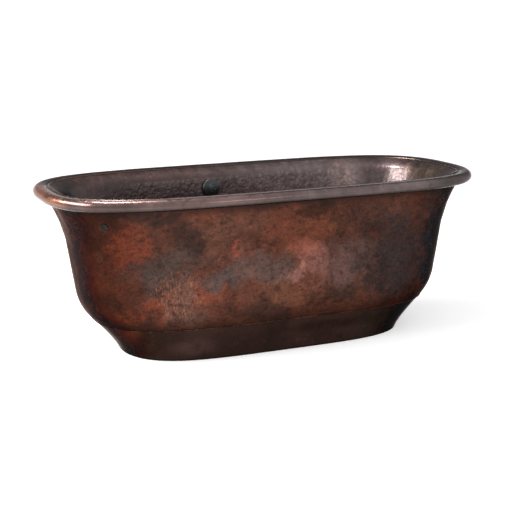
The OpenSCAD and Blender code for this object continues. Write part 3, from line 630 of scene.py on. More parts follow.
def copper_plinth():
    """The plinth: dark waxed copper, with a painted pale sheen, a warm left end, and darker at its foot."""
    p = Paint("plinth_copper")
    x, z = p.axis(0), p.axis(2)
    broad = p.noise(p.co, 5.0, 6.0, 0.6, 0.5)
    mid = p.noise(p.co, 22.0, 6.0, 0.66)
    colour = p.layered(
        p.blend(p.ramp(broad, 0.36, 0.66), srgb(38, 26, 22), srgb(52, 35, 30)),
        (mid, 0.56, 0.74, 0.4, srgb(76, 51, 46)), (mid, 0.44, 0.28, 0.6, srgb(27, 20, 18)))
    breakup = p.ramp(mid, 0.3, 0.6, 0.4, 1.0)
    # a painted sheen on the front of the plinth
    colour = p.patch(p.co, colour, (-0.362, -0.242, 0.05), (0.11, 0.1, 0.05), srgb(70, 50, 46), 0.7,
                     breakup)
    colour = p.patch(p.co, colour, (0.179, -0.267, 0.085), (0.24, 0.1, 0.03), srgb(28, 19, 16), 0.8,
                     breakup)
    scuff = p.noise(p.scaled(p.co, (1.0, 1.0, 14.0)), 26.0, 4.0, 0.65)
    colour = p.layered(
        colour, (scuff, 0.60, 0.74, 0.25, srgb(70, 50, 44)), (z, 0.012, 0.0, 0.7, srgb(22, 16, 15)),
        (x, -0.53, -0.59, 0.8, srgb(88, 55, 40)), (x, 0.20, 0.45, 0.7, srgb(37, 35, 30)))
    return p.finish(Base_Color=colour, Metallic=1.0, Roughness=p.ramp(mid, 0.3, 0.7, 0.18, 0.34),
                    Normal=p.bump(p.noise(p.co, 30.0, 3.0, 0.5), 0.2, 0.004),
                    Specular_Tint=(0.24, 0.20, 0.175, 1.0), Coat_Weight=0.05, Coat_Roughness=0.12)


def copper_bead():
    """The brazed seam, duller towards the right."""
    p = Paint("bead_copper")
    broad = p.noise(p.co, 9.0, 5.0, 0.7)
    fine = p.noise(p.co, 90.0, 4.0, 0.7)
    colour = p.layered(
        p.blend(p.ramp(broad, 0.38, 0.62), srgb(42, 28, 23), srgb(70, 50, 41)),
        (fine, 0.52, 0.66, 0.5, srgb(104, 80, 66)), (p.axis(0), 0.0, 0.5, 0.75, srgb(60, 36, 28)))
    return p.finish(Base_Color=colour, Metallic=1.0, Normal=p.bump(fine, 0.2, 0.0006),
                    Roughness=p.ramp(broad, 0.3, 0.7, 0.28, 0.44),
                    Specular_Tint=(0.40, 0.32, 0.28, 1.0))


def plain_metal(name, base, worn, dark, rough, metallic, scale, turned=0.0, coat=0.0):
    """A small metal part: base colour, rubbed edges, darker grime, and a fine or turned grain."""
    p = Paint(name)
    broad = p.noise(p.co, scale * 0.35, 5.0, 0.6)
    fine = p.noise(p.co, scale * 3.0, 4.0, 0.65)
    colour = p.layered(srgb(*base), (broad, 0.40, 0.68, 0.6, srgb(*dark)),
                       (fine, 0.56, 0.76, 0.35, srgb(*worn)), (p.edge(), 0.53, 0.62, 0.7, srgb(*worn)))
    grain = p.noise(p.scaled(p.co, (1.0, 1.0, turned)), scale * 2.0, 2.0, 0.5) if turned else fine
    return p.finish(Base_Color=colour, Metallic=metallic, Normal=p.bump(grain, 0.15, 0.0004),
                    Coat_Weight=coat, Coat_Roughness=0.2,
                    Roughness=p.ramp(broad, 0.3, 0.7, rough, rough + 0.16))


def moulded(name, base, shade, rough, scale):
    """Rubber or plastic: slight colour drift, a matte grain and a little dust."""
    p = Paint(name)
    broad = p.noise(p.co, scale * 0.25, 4.0, 0.6)
    fine = p.noise(p.co, scale * 6.0, 3.0, 0.6)
    colour = p.blend(p.ramp(broad, 0.36, 0.66), srgb(*base), srgb(*shade))
    colour = p.layered(colour, (fine, 0.60, 0.78, 0.25, srgb(150, 145, 138)))
    return p.finish(Base_Color=colour, Roughness=p.ramp(broad, 0.3, 0.7, rough, rough + 0.14),
                    Normal=p.bump(fine, 0.18, 0.0003))


M = {"patina_copper": copper_body(), "hammered_copper": copper_basin(), "rim_copper": copper_rim(),
     "plinth_copper": copper_plinth(), "bead_copper": copper_bead()}

# Small metal parts: base, worn and dark colours, roughness, metallic, scale of the noises,
# squeeze of the turning marks, clear coat.
for name, *values in (
        ("oil_rubbed_bronze", (48, 49, 50), (104, 102, 94), (26, 26, 27), 0.30, 0.9, 70.0, 0.0, 0.2),
        ("disc_bronze", (38, 31, 27), (74, 60, 50), (20, 16, 15), 0.34, 1.0, 120.0),
        ("brass_fitting", (196, 160, 96), (226, 200, 140), (140, 104, 60), 0.24, 1.0, 80.0, 6.0),
        ("frame_steel", (46, 46, 48), (92, 92, 94), (30, 30, 31), 0.46, 0.2, 120.0),
        ("zinc_steel", (176, 178, 182), (214, 214, 214), (128, 130, 134), 0.26, 1.0, 110.0),
        ("foot_steel", (104, 106, 110), (168, 168, 170), (60, 61, 64), 0.32, 0.95, 100.0)):
    M[name] = plain_metal(name, *values)

# Moulded parts: base and shade colours, roughness, scale of the noises.
for name, *values in (
        ("black_rubber", (30, 30, 31), (44, 43, 43), 0.62, 90.0),
        ("white_plastic", (222, 220, 212), (200, 196, 186), 0.38, 60.0),
        ("cable_sheath", (34, 35, 38), (48, 48, 52), 0.36, 120.0)):
    M[name] = moulded(name, *values)


def piece(obj, body, slot_name, *replaced):
    obj.data.materials.clear()
    obj.data.materials.append(M[slot_name])
    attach(obj, body)
    if replaced:
        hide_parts(*replaced)
    return obj


# ------------------------------------------------------------------- copper work
tilt = math.atan2(knob_axis.z, -knob_axis.y)
over_m = Matrix.Translation(Vector(knob_pos * MM)) @ Matrix.Rotation(math.pi / 2 - tilt, 4, "X")
drain_m = Matrix.Translation(Vector((waste_x * MM, 0, 0)))


def pushed(rings, away, depth):
    """Rings moved by depth along their normals, to the side that away points to."""
    normals = normals_of(rings)
    side = np.sign((normals * away).sum(-1, keepdims=True))
    return rings + normals * side * depth[..., None]


def row_fade(count, first, last, skipped=0):
    """A column that rises from 0 over the first rows and falls back to 0 over the last ones."""
    rows = np.arange(count)
    return (smooth((rows - skipped) / first) * smooth((count - 1 - rows) / last))[:, None]


def make_shell():
    """The outer sheet with its hem, uneven by a fraction of a millimetre."""
    n = 640
    heights = np.r_[np.linspace(plinth_h, 150, 10), np.linspace(154, 250, 24),
                    np.linspace(256, shell_top, 58)]
    outer = np.array([body_ring(z, 0, n) for z in heights])
    fade = smooth((heights - plinth_h) / 14) * smooth((shell_top - heights) / 12)
    worked = (0.34 * waves(outer, 150, 1) + 0.16 * waves(outer, 62, 2)
              + 0.16 * (hammer_marks(outer, 34, 3) ** 2 - 0.5))
    outer = pushed(outer, outer * [1, 1, 0], worked * fade[:, None])
    hem_z = plinth_h + SHEET_T
    inner = [body_ring(z, SHEET_T, n) for z in (shell_top, 500, 405, 320, 243, 200, 164, 140, hem_z)]
    hem = [body_ring(z, HEM_W, n) for z in (hem_z, plinth_h)]
    return band("shell_skin", np.concatenate([outer, np.array(inner + hem)]))


def make_basin():
    """The hammered bowl, with its dished drain and a round hole for the overflow."""
    n = 600
    walls = np.r_[0, 2, 5, 9, 14, 20, 27, 34, 42, np.linspace(50, wall_depth, 42)]
    inner = [basin_wall(t, 0, n) for t in walls]
    inner += [basin_belly(a, 0, n) for a in np.radians(np.linspace(5, 90, 18))]
    inner += [basin_floor(w, 0, n) for w in np.linspace(0.016, 1, 62)]
    inner = np.array(inner)
    drain = np.array([waste_x, 0, FLOOR_Z - FLOOR_FALL])
    hole = [mix(inner[-1], drain, w) for w in (0.22, 1 - 26 / DRAIN_R)]
    worked = 0.5 * (hammer_marks(inner, 21, 5) ** 2 - 0.55) + 0.35 * waves(inner, 120, 6)
    inside = np.array([0, 0, 420.0])
    inner = pushed(inner, inside - inner, worked * row_fade(len(inner), 6, 5))
    outer = [basin_wall(t, SHEET_T, n) for t in (wall_depth, 270, 180, 100, 40, 20, 8, 0)]
    under = [basin_belly(a, SHEET_T, n) for a in np.radians([90, 70, 50, 30, 10])]
    floor = [basin_floor(w, SHEET_T, n) for w in (1, 0.85, 0.72, 0.58, 0.45, 0.2)]
    back_hole = hole[-1] - [0, 0, SHEET_T]
    rings = np.concatenate([inner, np.array(hole), np.array([back_hole] + floor + under + outer)])
    obj = band("basin_skin", rings)
    cutter = lathe("cutter", [(0, -12), (24, -12), (24, 12), (0, 12)], over_m, 64)
    cut = obj.modifiers.new("overflow_hole", "BOOLEAN")
    cut.operation, cut.object, cut.solver = "DIFFERENCE", cutter, "EXACT"
    made = bpy.data.meshes.new_from_object(obj.evaluated_get(bpy.context.evaluated_depsgraph_get()))
    obj.modifiers.clear()
    obj.data = made
    bpy.data.objects.remove(cutter)
    return obj


def make_rim():
    """Lip, groove, roll and tucked edge as one sheet; the section is (inset, height)."""
    n = 840
    lip = [(60.2, 611.2), (60.0, 612.2), (59.0, 613.2), (57.2, 613.7), (55.2, 613.4), (53.6, 612.3),
           (52.4, 610.7), (51.2, 609.5), (49.6, 609.2), (47.8, 610.1), (45.6, 611.8), (42.8, 613.3),
           (39.4, 614.3), (35.0, 615.1), (30.0, 615.7), (25.0, 615.95)]
    r = ROLL_D / 2
    roll = [(r - r * math.cos(a), shell_top + r + r * math.sin(a))
            for a in np.radians(np.linspace(90, -90, 27))]
    tuck = [(30, 574.9), (42, 574.9), (60, 575)]
    section = np.array(lip + roll + tuck)
    tan = np.gradient(section, axis=0)
    tan /= np.linalg.norm(tan, axis=1, keepdims=True)
    other = section + SHEET_T * np.stack([tan[:, 1], -tan[:, 0]], 1)
    if other[20, 1] > section[20, 1]:
        other = 2 * section - other
    face = np.array([rim_ring(i, z, n) for i, z in section])
    worked = 0.22 * (hammer_marks(face, 22, 7) ** 2 - 1.0) + 0.16 * waves(face, 110, 8) - 0.12
    core = rim_ring(22, 595, n)
    face = pushed(face, face - core, worked * row_fade(len(face), 6, 3, 10))
    back = np.array([rim_ring(i, z, n) for i, z in other[::-4]])
    return band("rim_skin", np.concatenate([face, back]))


def make_plinth():
    """The plinth with its two hems; the section is (height, inset)."""
    n = 640
    edge = [(0, HEM_W), (0, 1.4), (0.5, 0.4), (1.6, 0)]
    face = [(z, 0) for z in np.linspace(4, 125, 34)]
    hem_z = plinth_h - SHEET_T
    top = [(127.2, 0.1), (plinth_h, 0.9), (plinth_h, HEM_W), (hem_z, HEM_W), (hem_z, SHEET_T)]
    back = [(z, SHEET_T) for z in (100, 70, 40, 16, SHEET_T)] + [(SHEET_T, HEM_W)]
    rings = np.array([body_ring(z, i, n) for z, i in edge + face + top + back])
    first, last = len(edge), len(edge) + len(face)
    part = rings[first:last]
    worked = 0.32 * waves(part, 130, 9) + 0.14 * (hammer_marks(part, 36, 10) ** 2 - 0.5)
    rings[first:last] = pushed(part, part * [1, 1, 0], worked * row_fade(len(part), 4, 4))
    return band("plinth_skin", rings)


def make_bead():
    """The brazed half-round over the seam, slightly rippled."""
    n = 720
    angles = np.radians(np.linspace(-90, 90, 11))
    outer = np.array([body_ring(plinth_h + 2.5 * math.sin(a), -0.4 - 2.2 * math.cos(a), n)
                      for a in angles])
    d = outer - body_ring(plinth_h, 0.2, n)
    length = np.maximum(np.linalg.norm(d, axis=-1, keepdims=True), 1e-9)
    ripple = 0.22 * waves(outer, 16, 12) + 0.18 * waves(outer, 42, 13)
    outer = outer + d / length * (ripple * np.cos(angles)[:, None] - 0.15)[..., None]
    return band("seam_bead_skin", np.concatenate([outer, [body_ring(plinth_h, -0.1, n)]]))


def make_disc():
    """The small plain disc on the shell near the left end."""
    z, direction = 514.0, 219.4
    p, q = (Vector(body_points(np.radians([deg]), z, 0)[0]) for deg in (direction, direction + 0.5))
    lean = math.atan((body_a(z + 10) - body_a(z - 10)) / 20 * 0.85)
    turn = math.atan2(q.y - p.y, q.x - p.x) - math.pi / 2
    place = (Matrix.Translation(p * MM) @ Matrix.Rotation(turn, 4, "Z")
             @ Matrix.Rotation(math.pi / 2 + lean, 4, "Y") @ Matrix.Translation((0, 0, 0.5 * MM)))
    profile = rounded([(0, 0), (16, 0), (16, 1.2), (15, 2), (12.2, 2), (11, 1.2), (9.6, 1.2),
                       (9.0, 1.6), (7.6, 1.6), (7.0, 1.2), (0, 1.4)], 0.35)
    return lathe("maker_disc_skin", profile, place, 72)


for obj, slot_name, node in (
        (make_shell(), "patina_copper", "outer_shell"),
        (make_basin(), "hammered_copper", "inner_basin"),
        (make_rim(), "rim_copper", "rolled_rim"),
        (make_plinth(), "plinth_copper", "plinth_skirt"),
        (make_bead(), "bead_copper", "seam_bead")):
    piece(obj, "tub", slot_name, node)
disc = piece(make_disc(), "tub", "oil_rubbed_bronze", "maker_disc")
disc.data.materials[0] = M["disc_bronze"]


# ---------------------------------------------------------------- knob and stopper
def dome(radius, base, rise, degrees, spread=0.0):
    """Points over a dome, from its edge towards its crown; spread widens it at the edge."""
    return [(radius * math.cos(math.radians(a)) + spread * (1 - a / 90),
             base + rise * math.sin(math.radians(a))) for a in degrees]


knob = [(0, 8.7), (31.6, 8.7), (33, 6.4), (35.4, 6.2), (36, 6.9), (36, 9.4)]
knob += dome(33, 10.2, 8.8, range(6, 60, 6), 3)
knob += [(15.5, 18.15), (14.9, 17.5), (13.8, 17.5), (13.2, 18.4), (8, 18.9), (0, 19.0)]
piece(lathe("knob_skin", knob, over_m, 128), "knob", "oil_rubbed_bronze", "overflow_knob")

cap = [(0, 131.3), (16.2, 131.3), (16.5, 131.7), (16.5, 135.8), (30.6, 135.8), (31.3, 136.2),
       (31.5, 137.0)]
cap += dome(31.5, 137.0, 5.8, range(8, 66, 6))
cap += [(11.6, 142.15), (11.1, 141.7), (10.2, 141.7), (9.7, 142.35), (5, 142.7), (0, 142.8)]
piece(lathe("stopper_cap_skin", cap, drain_m, 112), "stopper", "oil_rubbed_bronze", "stopper_cap")


# ------------------------------------------------------------ bars, nuts and threads
def hex_radius(flats, angles):
    """Distance from the axis to the side of a hexagon with a corner on +X."""
    return flats / 2 / np.cos(np.mod(angles, math.pi / 3) - math.pi / 6)


def stacked(name, radii, heights, place, hole=None, n=72):
    """A piece built of rings: each radius is a number or one value for each of n directions."""
    angles = circle(n)

    def ring(radius, z):
        radius = np.broadcast_to(np.asarray(radius, float), n)
        return np.stack([radius * np.cos(angles), radius * np.sin(angles), np.full(n, float(z))], 1)

    rings = [ring(radius, z) for radius, z in zip(radii, heights)]
    if hole:
        rings += [ring(hole, heights[-1]), ring(hole, heights[0])]
        obj = band(name, np.array(rings))
    else:
        rings = [rings[0] * [0.02, 0.02, 1]] + rings + [rings[-1] * [0.02, 0.02, 1]]
        obj = band(name, np.array(rings), closed=False)
    obj.data.transform(place)
    return obj


def hex_body(name, flats, z0, z1, place, hole=None, chamfer=0.8):
    """A hexagonal head or nut with its corners chamfered top and bottom."""
    full = hex_radius(flats, circle(72))
    cut = np.minimum(full, flats / 2 * 1.01)
    soft = np.minimum(full, flats / 2 * 1.075)
    return stacked(name, [cut, soft, full, full, soft, cut],
                   [z0, z0 + chamfer * 0.45, z0 + chamfer, z1 - chamfer, z1 - chamfer * 0.45, z1],
                   place, hole)


def threaded(name, r, pitch, z0, z1, place, n, depth):
    """A rod with a real helical thread that fades out over the last turn at each end."""
    angles = circle(n)
    heights = np.arange(z0, z1 + 0.01, pitch / 4)
    radii = []
    for z in heights:
        phase = np.mod(z / pitch - angles / (2 * np.pi), 1.0)
        cut = depth * np.abs(2 * phase - 1)
        radii.append(r - 0.02 - cut * min(1.0, (z - z0) / pitch, (heights[-1] - z) / pitch))
    return stacked(name, radii, heights, place, None, n)


def capped(rings):
    """Rings of a bar with a small closing ring added at each end."""
    first, last = (r.mean(0) + (r - r.mean(0)) * 0.02 for r in (rings[0], rings[-1]))
    return np.concatenate([[first], rings, [last]])


def block(name, low, high, edge, hollow=0.0):
    """A box with rounded long edges along its longest side; hollow gives a tube's wall."""
    low, high = np.array(low, float), np.array(high, float)
    size, mid = high - low, (low + high) / 2
    k = int(np.argmax(size))
    u, v = [c for c in range(3) if c != k]

    def ring(shrink, at):
        hu, hv = size[u] / 2 - shrink, size[v] / 2 - shrink
        radius = max(edge - shrink, 0.3)
        out = []
        for turn, (su, sv) in enumerate([(1, 1), (-1, 1), (-1, -1), (1, -1)]):
            for a in np.radians(np.linspace(0, 90, 5) + 90 * turn):
                point = np.full(3, float(at))
                point[u] = mid[u] + su * (hu - radius) + radius * math.cos(a)
                point[v] = mid[v] + sv * (hv - radius) + radius * math.sin(a)
                out.append(point)
        return np.array(out)

    a, b = low[k], high[k]
    if hollow:
        return band(name, np.array([ring(0, a), ring(0, b), ring(hollow, b), ring(hollow, a)]))
    soft = edge * 0.4
    return band(name, capped([ring(soft, a), ring(0, a + soft), ring(0, b - soft), ring(soft, b)]),
                closed=False)


def moved(x, y, z=0.0):
    return Matrix.Translation((x * MM, y * MM, z * MM))


def laid(place, x, y, z):
    """A place shifted by x, y and z mm, with its axis turned from +Z to +Y."""
    return place @ moved(x, y, z) @ Matrix.Rotation(-math.pi / 2, 4, "X")


# --------------------------------------------------------------- the levelling frame
bearer_low, bearer_high = corner("cross_bearers")
rail_low, rail_high = corner("frame_rails")
bolt_low, bolt_high = corner("frame_bolts")
nut_low, nut_high = corner("frame_nuts")
RAIL_HALF = 10  # half the width of a rail
BEARER_HALF = 20  # half the width of a bearer
bearer_x = bearer_high[0] - BEARER_HALF
rail_y = rail_high[1] - RAIL_HALF
foot_y = corner("levelling_foot_back_right")[1][1] - 22
bolt_y = bolt_high[1] - 6.5
crossings = [(x, y) for x in (-bearer_x, bearer_x) for y in (-1, 1)]
bolt_places = [moved(x, y * bolt_y) for x, y in crossings]
foot_places = [moved(x, y * foot_y) for x, y in crossings]


def make_rails():
    return joined("frame_rails_skin", [
        block("part", (rail_low[0], y - RAIL_HALF, rail_low[2]),
              (rail_high[0], y + RAIL_HALF, rail_high[2]), 2.4, 2.0) for y in (-rail_y, rail_y)])


def make_bearers():
    return joined("cross_bearers_skin", [
        block("part", (x - BEARER_HALF, bearer_low[1], bearer_low[2]),
              (x + BEARER_HALF, bearer_high[1], bearer_high[2]), 3.0, 2.0)
        for x in (-bearer_x, bearer_x)])


def make_bolts():
    parts = []
    head = bolt_low[2]
    for place in bolt_places:
        collar = head + np.array([4.4, 4.5, 5.2, 5.28])
        parts += [hex_body("part", 13, head, collar[0], place, None, 0.7),
                  stacked("part", [7.6, 8.0, 8.0, 7.6], collar, place),
                  threaded("part", 4.0, 1.25, head + 5.0, bolt_high[2], place, 24, 0.45)]
    return joined("frame_bolts_skin", parts)


def make_nuts():
    parts = []
    base = nut_low[2]
    for place in bolt_places:
        collar = base + np.array([0.05, 0.2, 1.05, 1.2])
        parts += [hex_body("part", 13, base + 1.2, nut_high[2], place, 4.05, 0.7),
                  stacked("part", [7.2, 7.5, 7.5, 7.2], collar, place, 4.05)]
    return joined("frame_nuts_skin", parts)


def make_inserts():
    low, high = (c[2] for c in corner("foot_inserts"))
    knurl = 10.9 - 0.35 * np.abs(np.sin(12 * circle(96)))
    heights = [low, low + 0.6, low + 2.4, low + 2.6, high - 2.0, high - 1.8, high - 0.5, high]
    radii = [10.6, 11, 11, knurl, knurl, 10.2, 10.2, 9.6]
    return joined("foot_inserts_skin",
                  [stacked("part", radii, heights, place, 6.1, 96) for place in foot_places])


def make_locknuts():
    low, high = (c[2] for c in corner("foot_locknuts"))
    return joined("foot_locknuts_skin",
                  [hex_body("part", 19, low, high, place, 6.1, 1.0) for place in foot_places])


def make_foot(name, place):
    z, top = (c[2] for c in corner(name))
    pad = rounded([(0, z), (21.2, z), (22, z + 1.2), (22, z + 4.6), (20.6, z + 5.8),
                   (10.6, z + 10.4), (10.2, z + 13.4), (0, z + 13.6)], 0.8)
    parts = [lathe("part", pad, place, 72), hex_body("part", 12, z + 13, z + 21, place),
             threaded("part", 6.0, 1.75, z + 20.6, top, place, 28, 0.6)]
    return joined(name + "_skin", parts)


for obj, slot_name, node in (
        (make_rails(), "frame_steel", "frame_rails"),
        (make_bearers(), "frame_steel", "cross_bearers"),
        (make_bolts(), "zinc_steel", "frame_bolts"),
        (make_nuts(), "zinc_steel", "frame_nuts"),
        (make_inserts(), "zinc_steel", "foot_inserts"),
        (make_locknuts(), "zinc_steel", "foot_locknuts")):
    piece(obj, "tub", slot_name, node)
for place, spot in zip(foot_places, ("front_left", "back_left", "front_right", "back_right")):
    foot = "levelling_foot_" + spot
    piece(make_foot(foot, place), "foot_" + spot, "foot_steel", foot)


# -------------------------------------------------------- waste and overflow, hidden
def over_yz(up, into):
    """A point of the overflow fitting, in the plane of the overflow and the drain."""
    spot = over_m @ Vector((0, up * MM, into * MM))
    return np.array([spot.y, spot.z]) / MM


def bezier(p, q, r, steps):
    p, q, r = (np.array(v, float) for v in (p, q, r))
    return [mix(mix(p, q, w), mix(q, r, w), w) for w in np.arange(1, steps + 1) / steps]


def route(start, turn, end, step):
    """The way from the overflow to the drain down the gap between the walls, at even steps."""
    low_turn = (168, SPIGOT_Z)
    points = start + bezier(turn, (296, 400), (284, 250), 6)
    points += bezier((284, 250), (270, 200), (236, 150), 5)
    points += bezier((236, 150), (222, SPIGOT_Z), low_turn, 7)
    points = np.array(points + [np.array((y, SPIGOT_Z), float) for y in end])
    seg = np.r_[0, np.cumsum(np.linalg.norm(np.diff(points, axis=0), axis=1))]
    at = np.linspace(0, seg[-1], max(int(seg[-1] / step), 2))
    path = np.stack([np.interp(at, seg, points[:, c]) for c in range(2)], 1)
    for _ in range(8):
        path[1:-1] = (path[:-2] + 2 * path[1:-1] + path[2:]) / 4
    return np.c_[np.full(len(path), waste_x), path]


def tube_rings(path, radii, sides):
    tangent = np.gradient(path, axis=0)
    tangent /= np.linalg.norm(tangent, axis=1, keepdims=True)
    side = np.array([1.0, 0, 0])
    up = np.cross(side, tangent)
    a = circle(sides)
    return path[:, None] + np.asarray(radii)[:, None, None] * (
        np.cos(a)[None, :, None] * side + np.sin(a)[None, :, None] * up[:, None])


def make_hose():
    """The ribbed hose, with a plain cuff at each end."""
    elbow = over_yz(-66, HOSE_INTO)
    step, cuff, pitch = 1.5, 22, 7.5
    path = route([over_yz(-42, HOSE_INTO), elbow], elbow, (120, 44), step)
    along = np.arange(len(path)) * step
    ribbed = smooth((along - cuff) / 6) * smooth((along[-1] - cuff - along) / 6)
    wave = (0.5 - 0.5 * np.cos(2 * np.pi * along / pitch)) ** 0.8
    outer = tube_rings(path, 16.2 - 0.2 * (1 - ribbed) - ribbed * 1.1 * wave, 32)
    inner = tube_rings(path, np.full(len(path), 14.1), 32)[::-8]
    return band("overflow_hose_skin", np.concatenate([outer, inner]))


def make_cable():
    start = over_yz(-64.4, HOSE_INTO)
    path = route([start], start, (120, 60, 5.2), 2.5)
    radii = np.full(len(path), 2.42)
    radii[:4] = radii[-4:] = 2.5
    return band("drive_cable_skin", capped(tube_rings(path, radii, 16)), closed=False)


def make_clips():
    """Worm-drive clips: a slotted band, a raised housing and a hexagonal screw."""
    n = 192
    slots = 17.9 - 0.35 * (np.mod(circle(n) * n / (2 * np.pi), 4) < 2)
    radii = [17.7, 17.95, 17.95, slots, slots, 17.95, 17.95, 17.7]
    parts = []
    for place in (laid(over_m, 0, -50, HOSE_INTO), laid(drain_m, 0, 54, SPIGOT_Z)):
        strap = stacked("part", radii, [-5, -4.7, -3, -2.9, 2.9, 3, 4.7, 5], place, 16.85, n)
        house = block("part", (17.2, -5.6, -4.4), (23.2, 5.6, 4.4), 2.0)
        house.data.transform(place)
        screw = laid(place, 20.3, 0, 0)
        worm = stacked("part", [2.0, 2.3, 2.3, 2.0], [-6.6, -6.2, 6.2, 6.6], screw, None, 32)
        head = hex_body("part", 6.6, 5.4, 7.4, screw @ Matrix.Scale(0.9, 4), None, 0.4)
        parts += [strap, house, worm, head]
    return joined("hose_clips_skin", parts)


def make_shoe():
    """Cast drain shoe: a flanged cup, its side spigot and a bead where the hose grips."""
    top = corner("drain_shoe")[1][2]
    cup = rounded([(19.0, 62), (21.7, 62), (22, 62.4), (22, 78), (26.5, 80), (29, 83), (29, top - 6),
                   (31, top - 4), (34.6, top - 4), (35, top - 3.4), (35, top - 0.4), (34.6, top),
                   (24.2, top), (24.2, 81), (19.0, 81)], 0.5)
    spigot = [(11.5, 25), (13.2, 25), (13.2, 40), (13.4, 40.8), (13.4, 45), (13.1, 46), (13.1, 58),
              (13.4, 59), (13.4, 61), (12.6, 62), (11.5, 62), (11.5, 25)]
    parts = [lathe("part", cup + [cup[0]], drain_m, 112),
             lathe("part", spigot, laid(drain_m, 0, 0, SPIGOT_Z), 72)]
    return joined("drain_shoe_skin", parts)


def make_tailpiece():
    profile = [(17.4, 10), (18.6, 10), (19.05, 10.5), (19.05, 50.5), (18.8, 51.6), (18.45, 52.2),
               (18.45, 75), (17.5, 75), (17.4, 74.5), (17.4, 10)]
    return lathe("tailpiece_skin", profile, drain_m, 112)


def make_tail_nut():
    """Slip-joint nut: a hexagon over a round, grooved skirt."""
    n = 96
    hexagon = hex_radius(50, circle(n))
    flat = np.minimum(hexagon, 26.4)
    skirt = 24.6 - 0.5 * (np.cos(24 * circle(n)) > 0.2)
    z = 52.5 + np.array([0, 0.8, 1.2, 9.6, 10.0, 10.6, 11.2, 17.2, 17.8, 19.6, 20.0])
    radii = [24.2, flat, hexagon, hexagon, flat, 24.6, skirt, skirt, 24.6, 24.6, 24.0]
    return stacked("tailpiece_nut_skin", radii, z, drain_m, 18.9, n)


def make_drain_flange():
    """Strainer body: a domed flange, the threaded sleeve, six spokes and a hub for the stem."""
    body = [(20.0, 106), (23.4, 106)]
    for z in 107 + 2.6 * np.arange(8):
        body += [(24.0, z), (24.0, z + 0.9), (23.4, z + 1.5), (23.4, z + 2.2)]
    body += [(23.8, 130.5), (24, 132), (35.6, 132), (36, 132.4), (35.9, 133.2), (34.6, 134.9),
             (33.0, 135.5), (21.8, 135.5), (20.4, 135.0), (20.0, 134.0), (20.0, 106)]
    parts = [lathe("part", body, drain_m, 112)]
    for a in range(0, 360, 60):
        spoke = block("part", (4.6, -1.4, 106.1), (20.6, 1.4, 111.9), 0.8)
        spoke.data.transform(drain_m @ Matrix.Rotation(math.radians(a), 4, "Z"))
        parts.append(spoke)
    hub = [(3.1, 106), (5.4, 106), (6, 106.6), (6, 117.2), (5.2, 118), (3.1, 118), (3.1, 106)]
    parts.append(lathe("part", hub, drain_m, 48))
    return joined("drain_flange_skin", parts)


def make_over_flange():
    """Overflow face plate: a domed disc with a rolled edge behind the knob."""
    profile = rounded([(4.1, 0.2), (34.2, 0.2), (35, 0.8), (34.6, 2.0), (33.4, 3.7), (31.8, 4.0),
                       (29.6, 3.2), (8.2, 3.2), (7.6, 4.0), (4.1, 4.0)], 0.4)
    return lathe("overflow_flange_skin", profile + [profile[0]], over_m, 112)


def make_flange_screws():
    """Pan-head screws with a small socket and a threaded shank."""
    head = [(0, 3.9), (4.4, 3.9), (4.6, 4.3), (4.4, 4.9), (3.6, 5.5), (1.0, 5.6), (0.9, 4.7), (0, 4.7)]
    parts = []
    for x in (-18, 18):
        place = over_m @ moved(x, 0)
        parts += [lathe("part", head, place, 40),
                  threaded("part", 2.5, 0.8, -15, 4.0, place, 20, 0.35)]
    return joined("flange_screws_skin", parts)


for obj, slot_name, node in (
        (make_hose(), "white_plastic", "overflow_hose"),
        (make_cable(), "cable_sheath", "drive_cable"),
        (make_clips(), "zinc_steel", "hose_clips"),
        (make_shoe(), "brass_fitting", "drain_shoe"),
        (make_tailpiece(), "brass_fitting", "tailpiece"),
        (make_tail_nut(), "brass_fitting", "tailpiece_nut"),
        (make_drain_flange(), "oil_rubbed_bronze", "drain_flange"),
        (make_over_flange(), "oil_rubbed_bronze", "overflow_flange"),
        (make_flange_screws(), "oil_rubbed_bronze", "flange_screws")):
    piece(obj, "tub", slot_name, node)

# --------------------------------------------------------------- carried-over CAD
slots = {s["node"]: s["material_slot"] for s in frame["record"]["subparts"]}
for name, obj in nodes.items():
    obj.data.materials.clear()
    obj.data.materials.append(M[slots[name]])

# ------------------------------------------------------------------ stage, lights
floor_mesh = bpy.data.meshes.new("floor")
floor_mesh.from_pydata([(-30, -30, 0), (30, -30, 0), (30, 30, 0), (-30, 30, 0)], [], [(0, 1, 2, 3)])
floor = bpy.data.objects.new("floor", floor_mesh)
floor.location.z = -0.0005
scene.collection.objects.link(floor)
pf = Paint("pale_floor")
tone = pf.noise(pf.co, 0.6, 3.0, 0.5)
floor_mesh.materials.append(pf.finish(
    Base_Color=pf.blend(pf.ramp(tone, 0.3, 0.7), (0.66, 0.66, 0.66, 1), (0.68, 0.68, 0.68, 1)),
    Roughness=0.9, Emission_Color=(1, 1, 1, 1), Emission_Strength=0.42))

BRIGHT, DIM = 1.36, 0.35  # strength of the studio's white, and of the dark flag in it


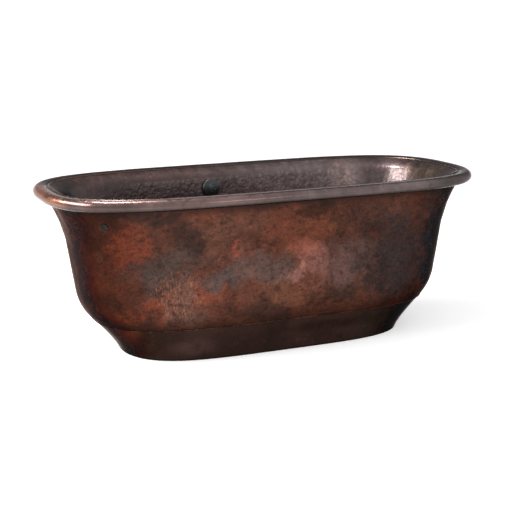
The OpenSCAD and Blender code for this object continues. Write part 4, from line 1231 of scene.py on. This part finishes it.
def studio_world():
    """A white room with a dark flag in it, raised a little behind the tub."""
    world = bpy.data.worlds.new("studio")
    world.use_nodes = True
    tree = world.node_tree
    back = tree.nodes["Background"]
    back.inputs[0].default_value = (1.0, 1.0, 1.0, 1.0)

    def node(kind, *inputs, **props):
        n = tree.nodes.new("ShaderNode" + kind)
        for key, value in props.items():
            setattr(n, key, value)
        for k, value in enumerate(inputs):
            if isinstance(value, bpy.types.NodeSocket):
                tree.links.new(value, n.inputs[k])
            else:
                n.inputs[k].default_value = value
        return n.outputs[0]

    direction = tree.nodes.new("ShaderNodeTexCoord").outputs["Generated"]
    axes = tree.nodes.new("ShaderNodeSeparateXYZ")
    tree.links.new(direction, axes.inputs[0])
    behind = node("MapRange", axes.outputs[1], -0.1, 0.7, 0.0, 1.0, interpolation_type="SMOOTHSTEP")
    raised = node("MapRange", axes.outputs[2], 0.04, 0.16, 0.0, 1.0, interpolation_type="SMOOTHSTEP")
    flag = node("Math", behind, raised, operation="MULTIPLY")
    tree.links.new(node("MapRange", flag, 0.0, 1.0, BRIGHT, DIM), back.inputs[1])
    return world


def softbox(name, at, target, width, height, power):
    data = bpy.data.lights.new(name, "AREA")
    data.shape, data.size, data.size_y = "RECTANGLE", width, height
    data.energy = power
    obj = bpy.data.objects.new(name, data)
    obj.location = at
    obj.rotation_euler = (Vector(target) - Vector(at)).to_track_quat("-Z", "Y").to_euler()
    scene.collection.objects.link(obj)


scene.world = studio_world()
softbox("left_box", (-3.2, 0.45, 2.4), (0.7, 0.12, 0.57), 3.2, 1.2, 220)
softbox("top_box", (-0.75, 0.55, 3.1), (-0.66, -0.3, 0.6), 0.8, 0.9, 145)
softbox("front_box", (0.97, -3.64, 1.26), (0.5, 0.27, 0.56), 0.8, 0.9, 8)

# ------------------------------------------- the camera, as fitted to the photograph
AROUND, UP = math.radians(-23.245), math.radians(12.461)
DISTANCE, ROLL = 4.4551, -0.0078
aim = Vector((-0.0158, -0.0016, 0.3058))
toward = Vector((math.sin(AROUND) * math.cos(UP), -math.cos(AROUND) * math.cos(UP), math.sin(UP)))
camera_data = bpy.data.cameras.new("camera")
camera_data.lens = 82.01
camera_data.sensor_width = 36.0
camera_data.clip_end = 100
camera = bpy.data.objects.new("camera", camera_data)
scene.collection.objects.link(camera)
camera.location = aim + toward * DISTANCE
camera.rotation_mode = "QUATERNION"
level = (-toward).to_track_quat("-Z", "Y")
camera.rotation_quaternion = level @ Matrix.Rotation(ROLL, 4, "Z").to_quaternion()
scene.camera = camera

scene.view_settings.view_transform = "Standard"
scene.view_settings.look = "None"

bpy.context.view_layer.update()
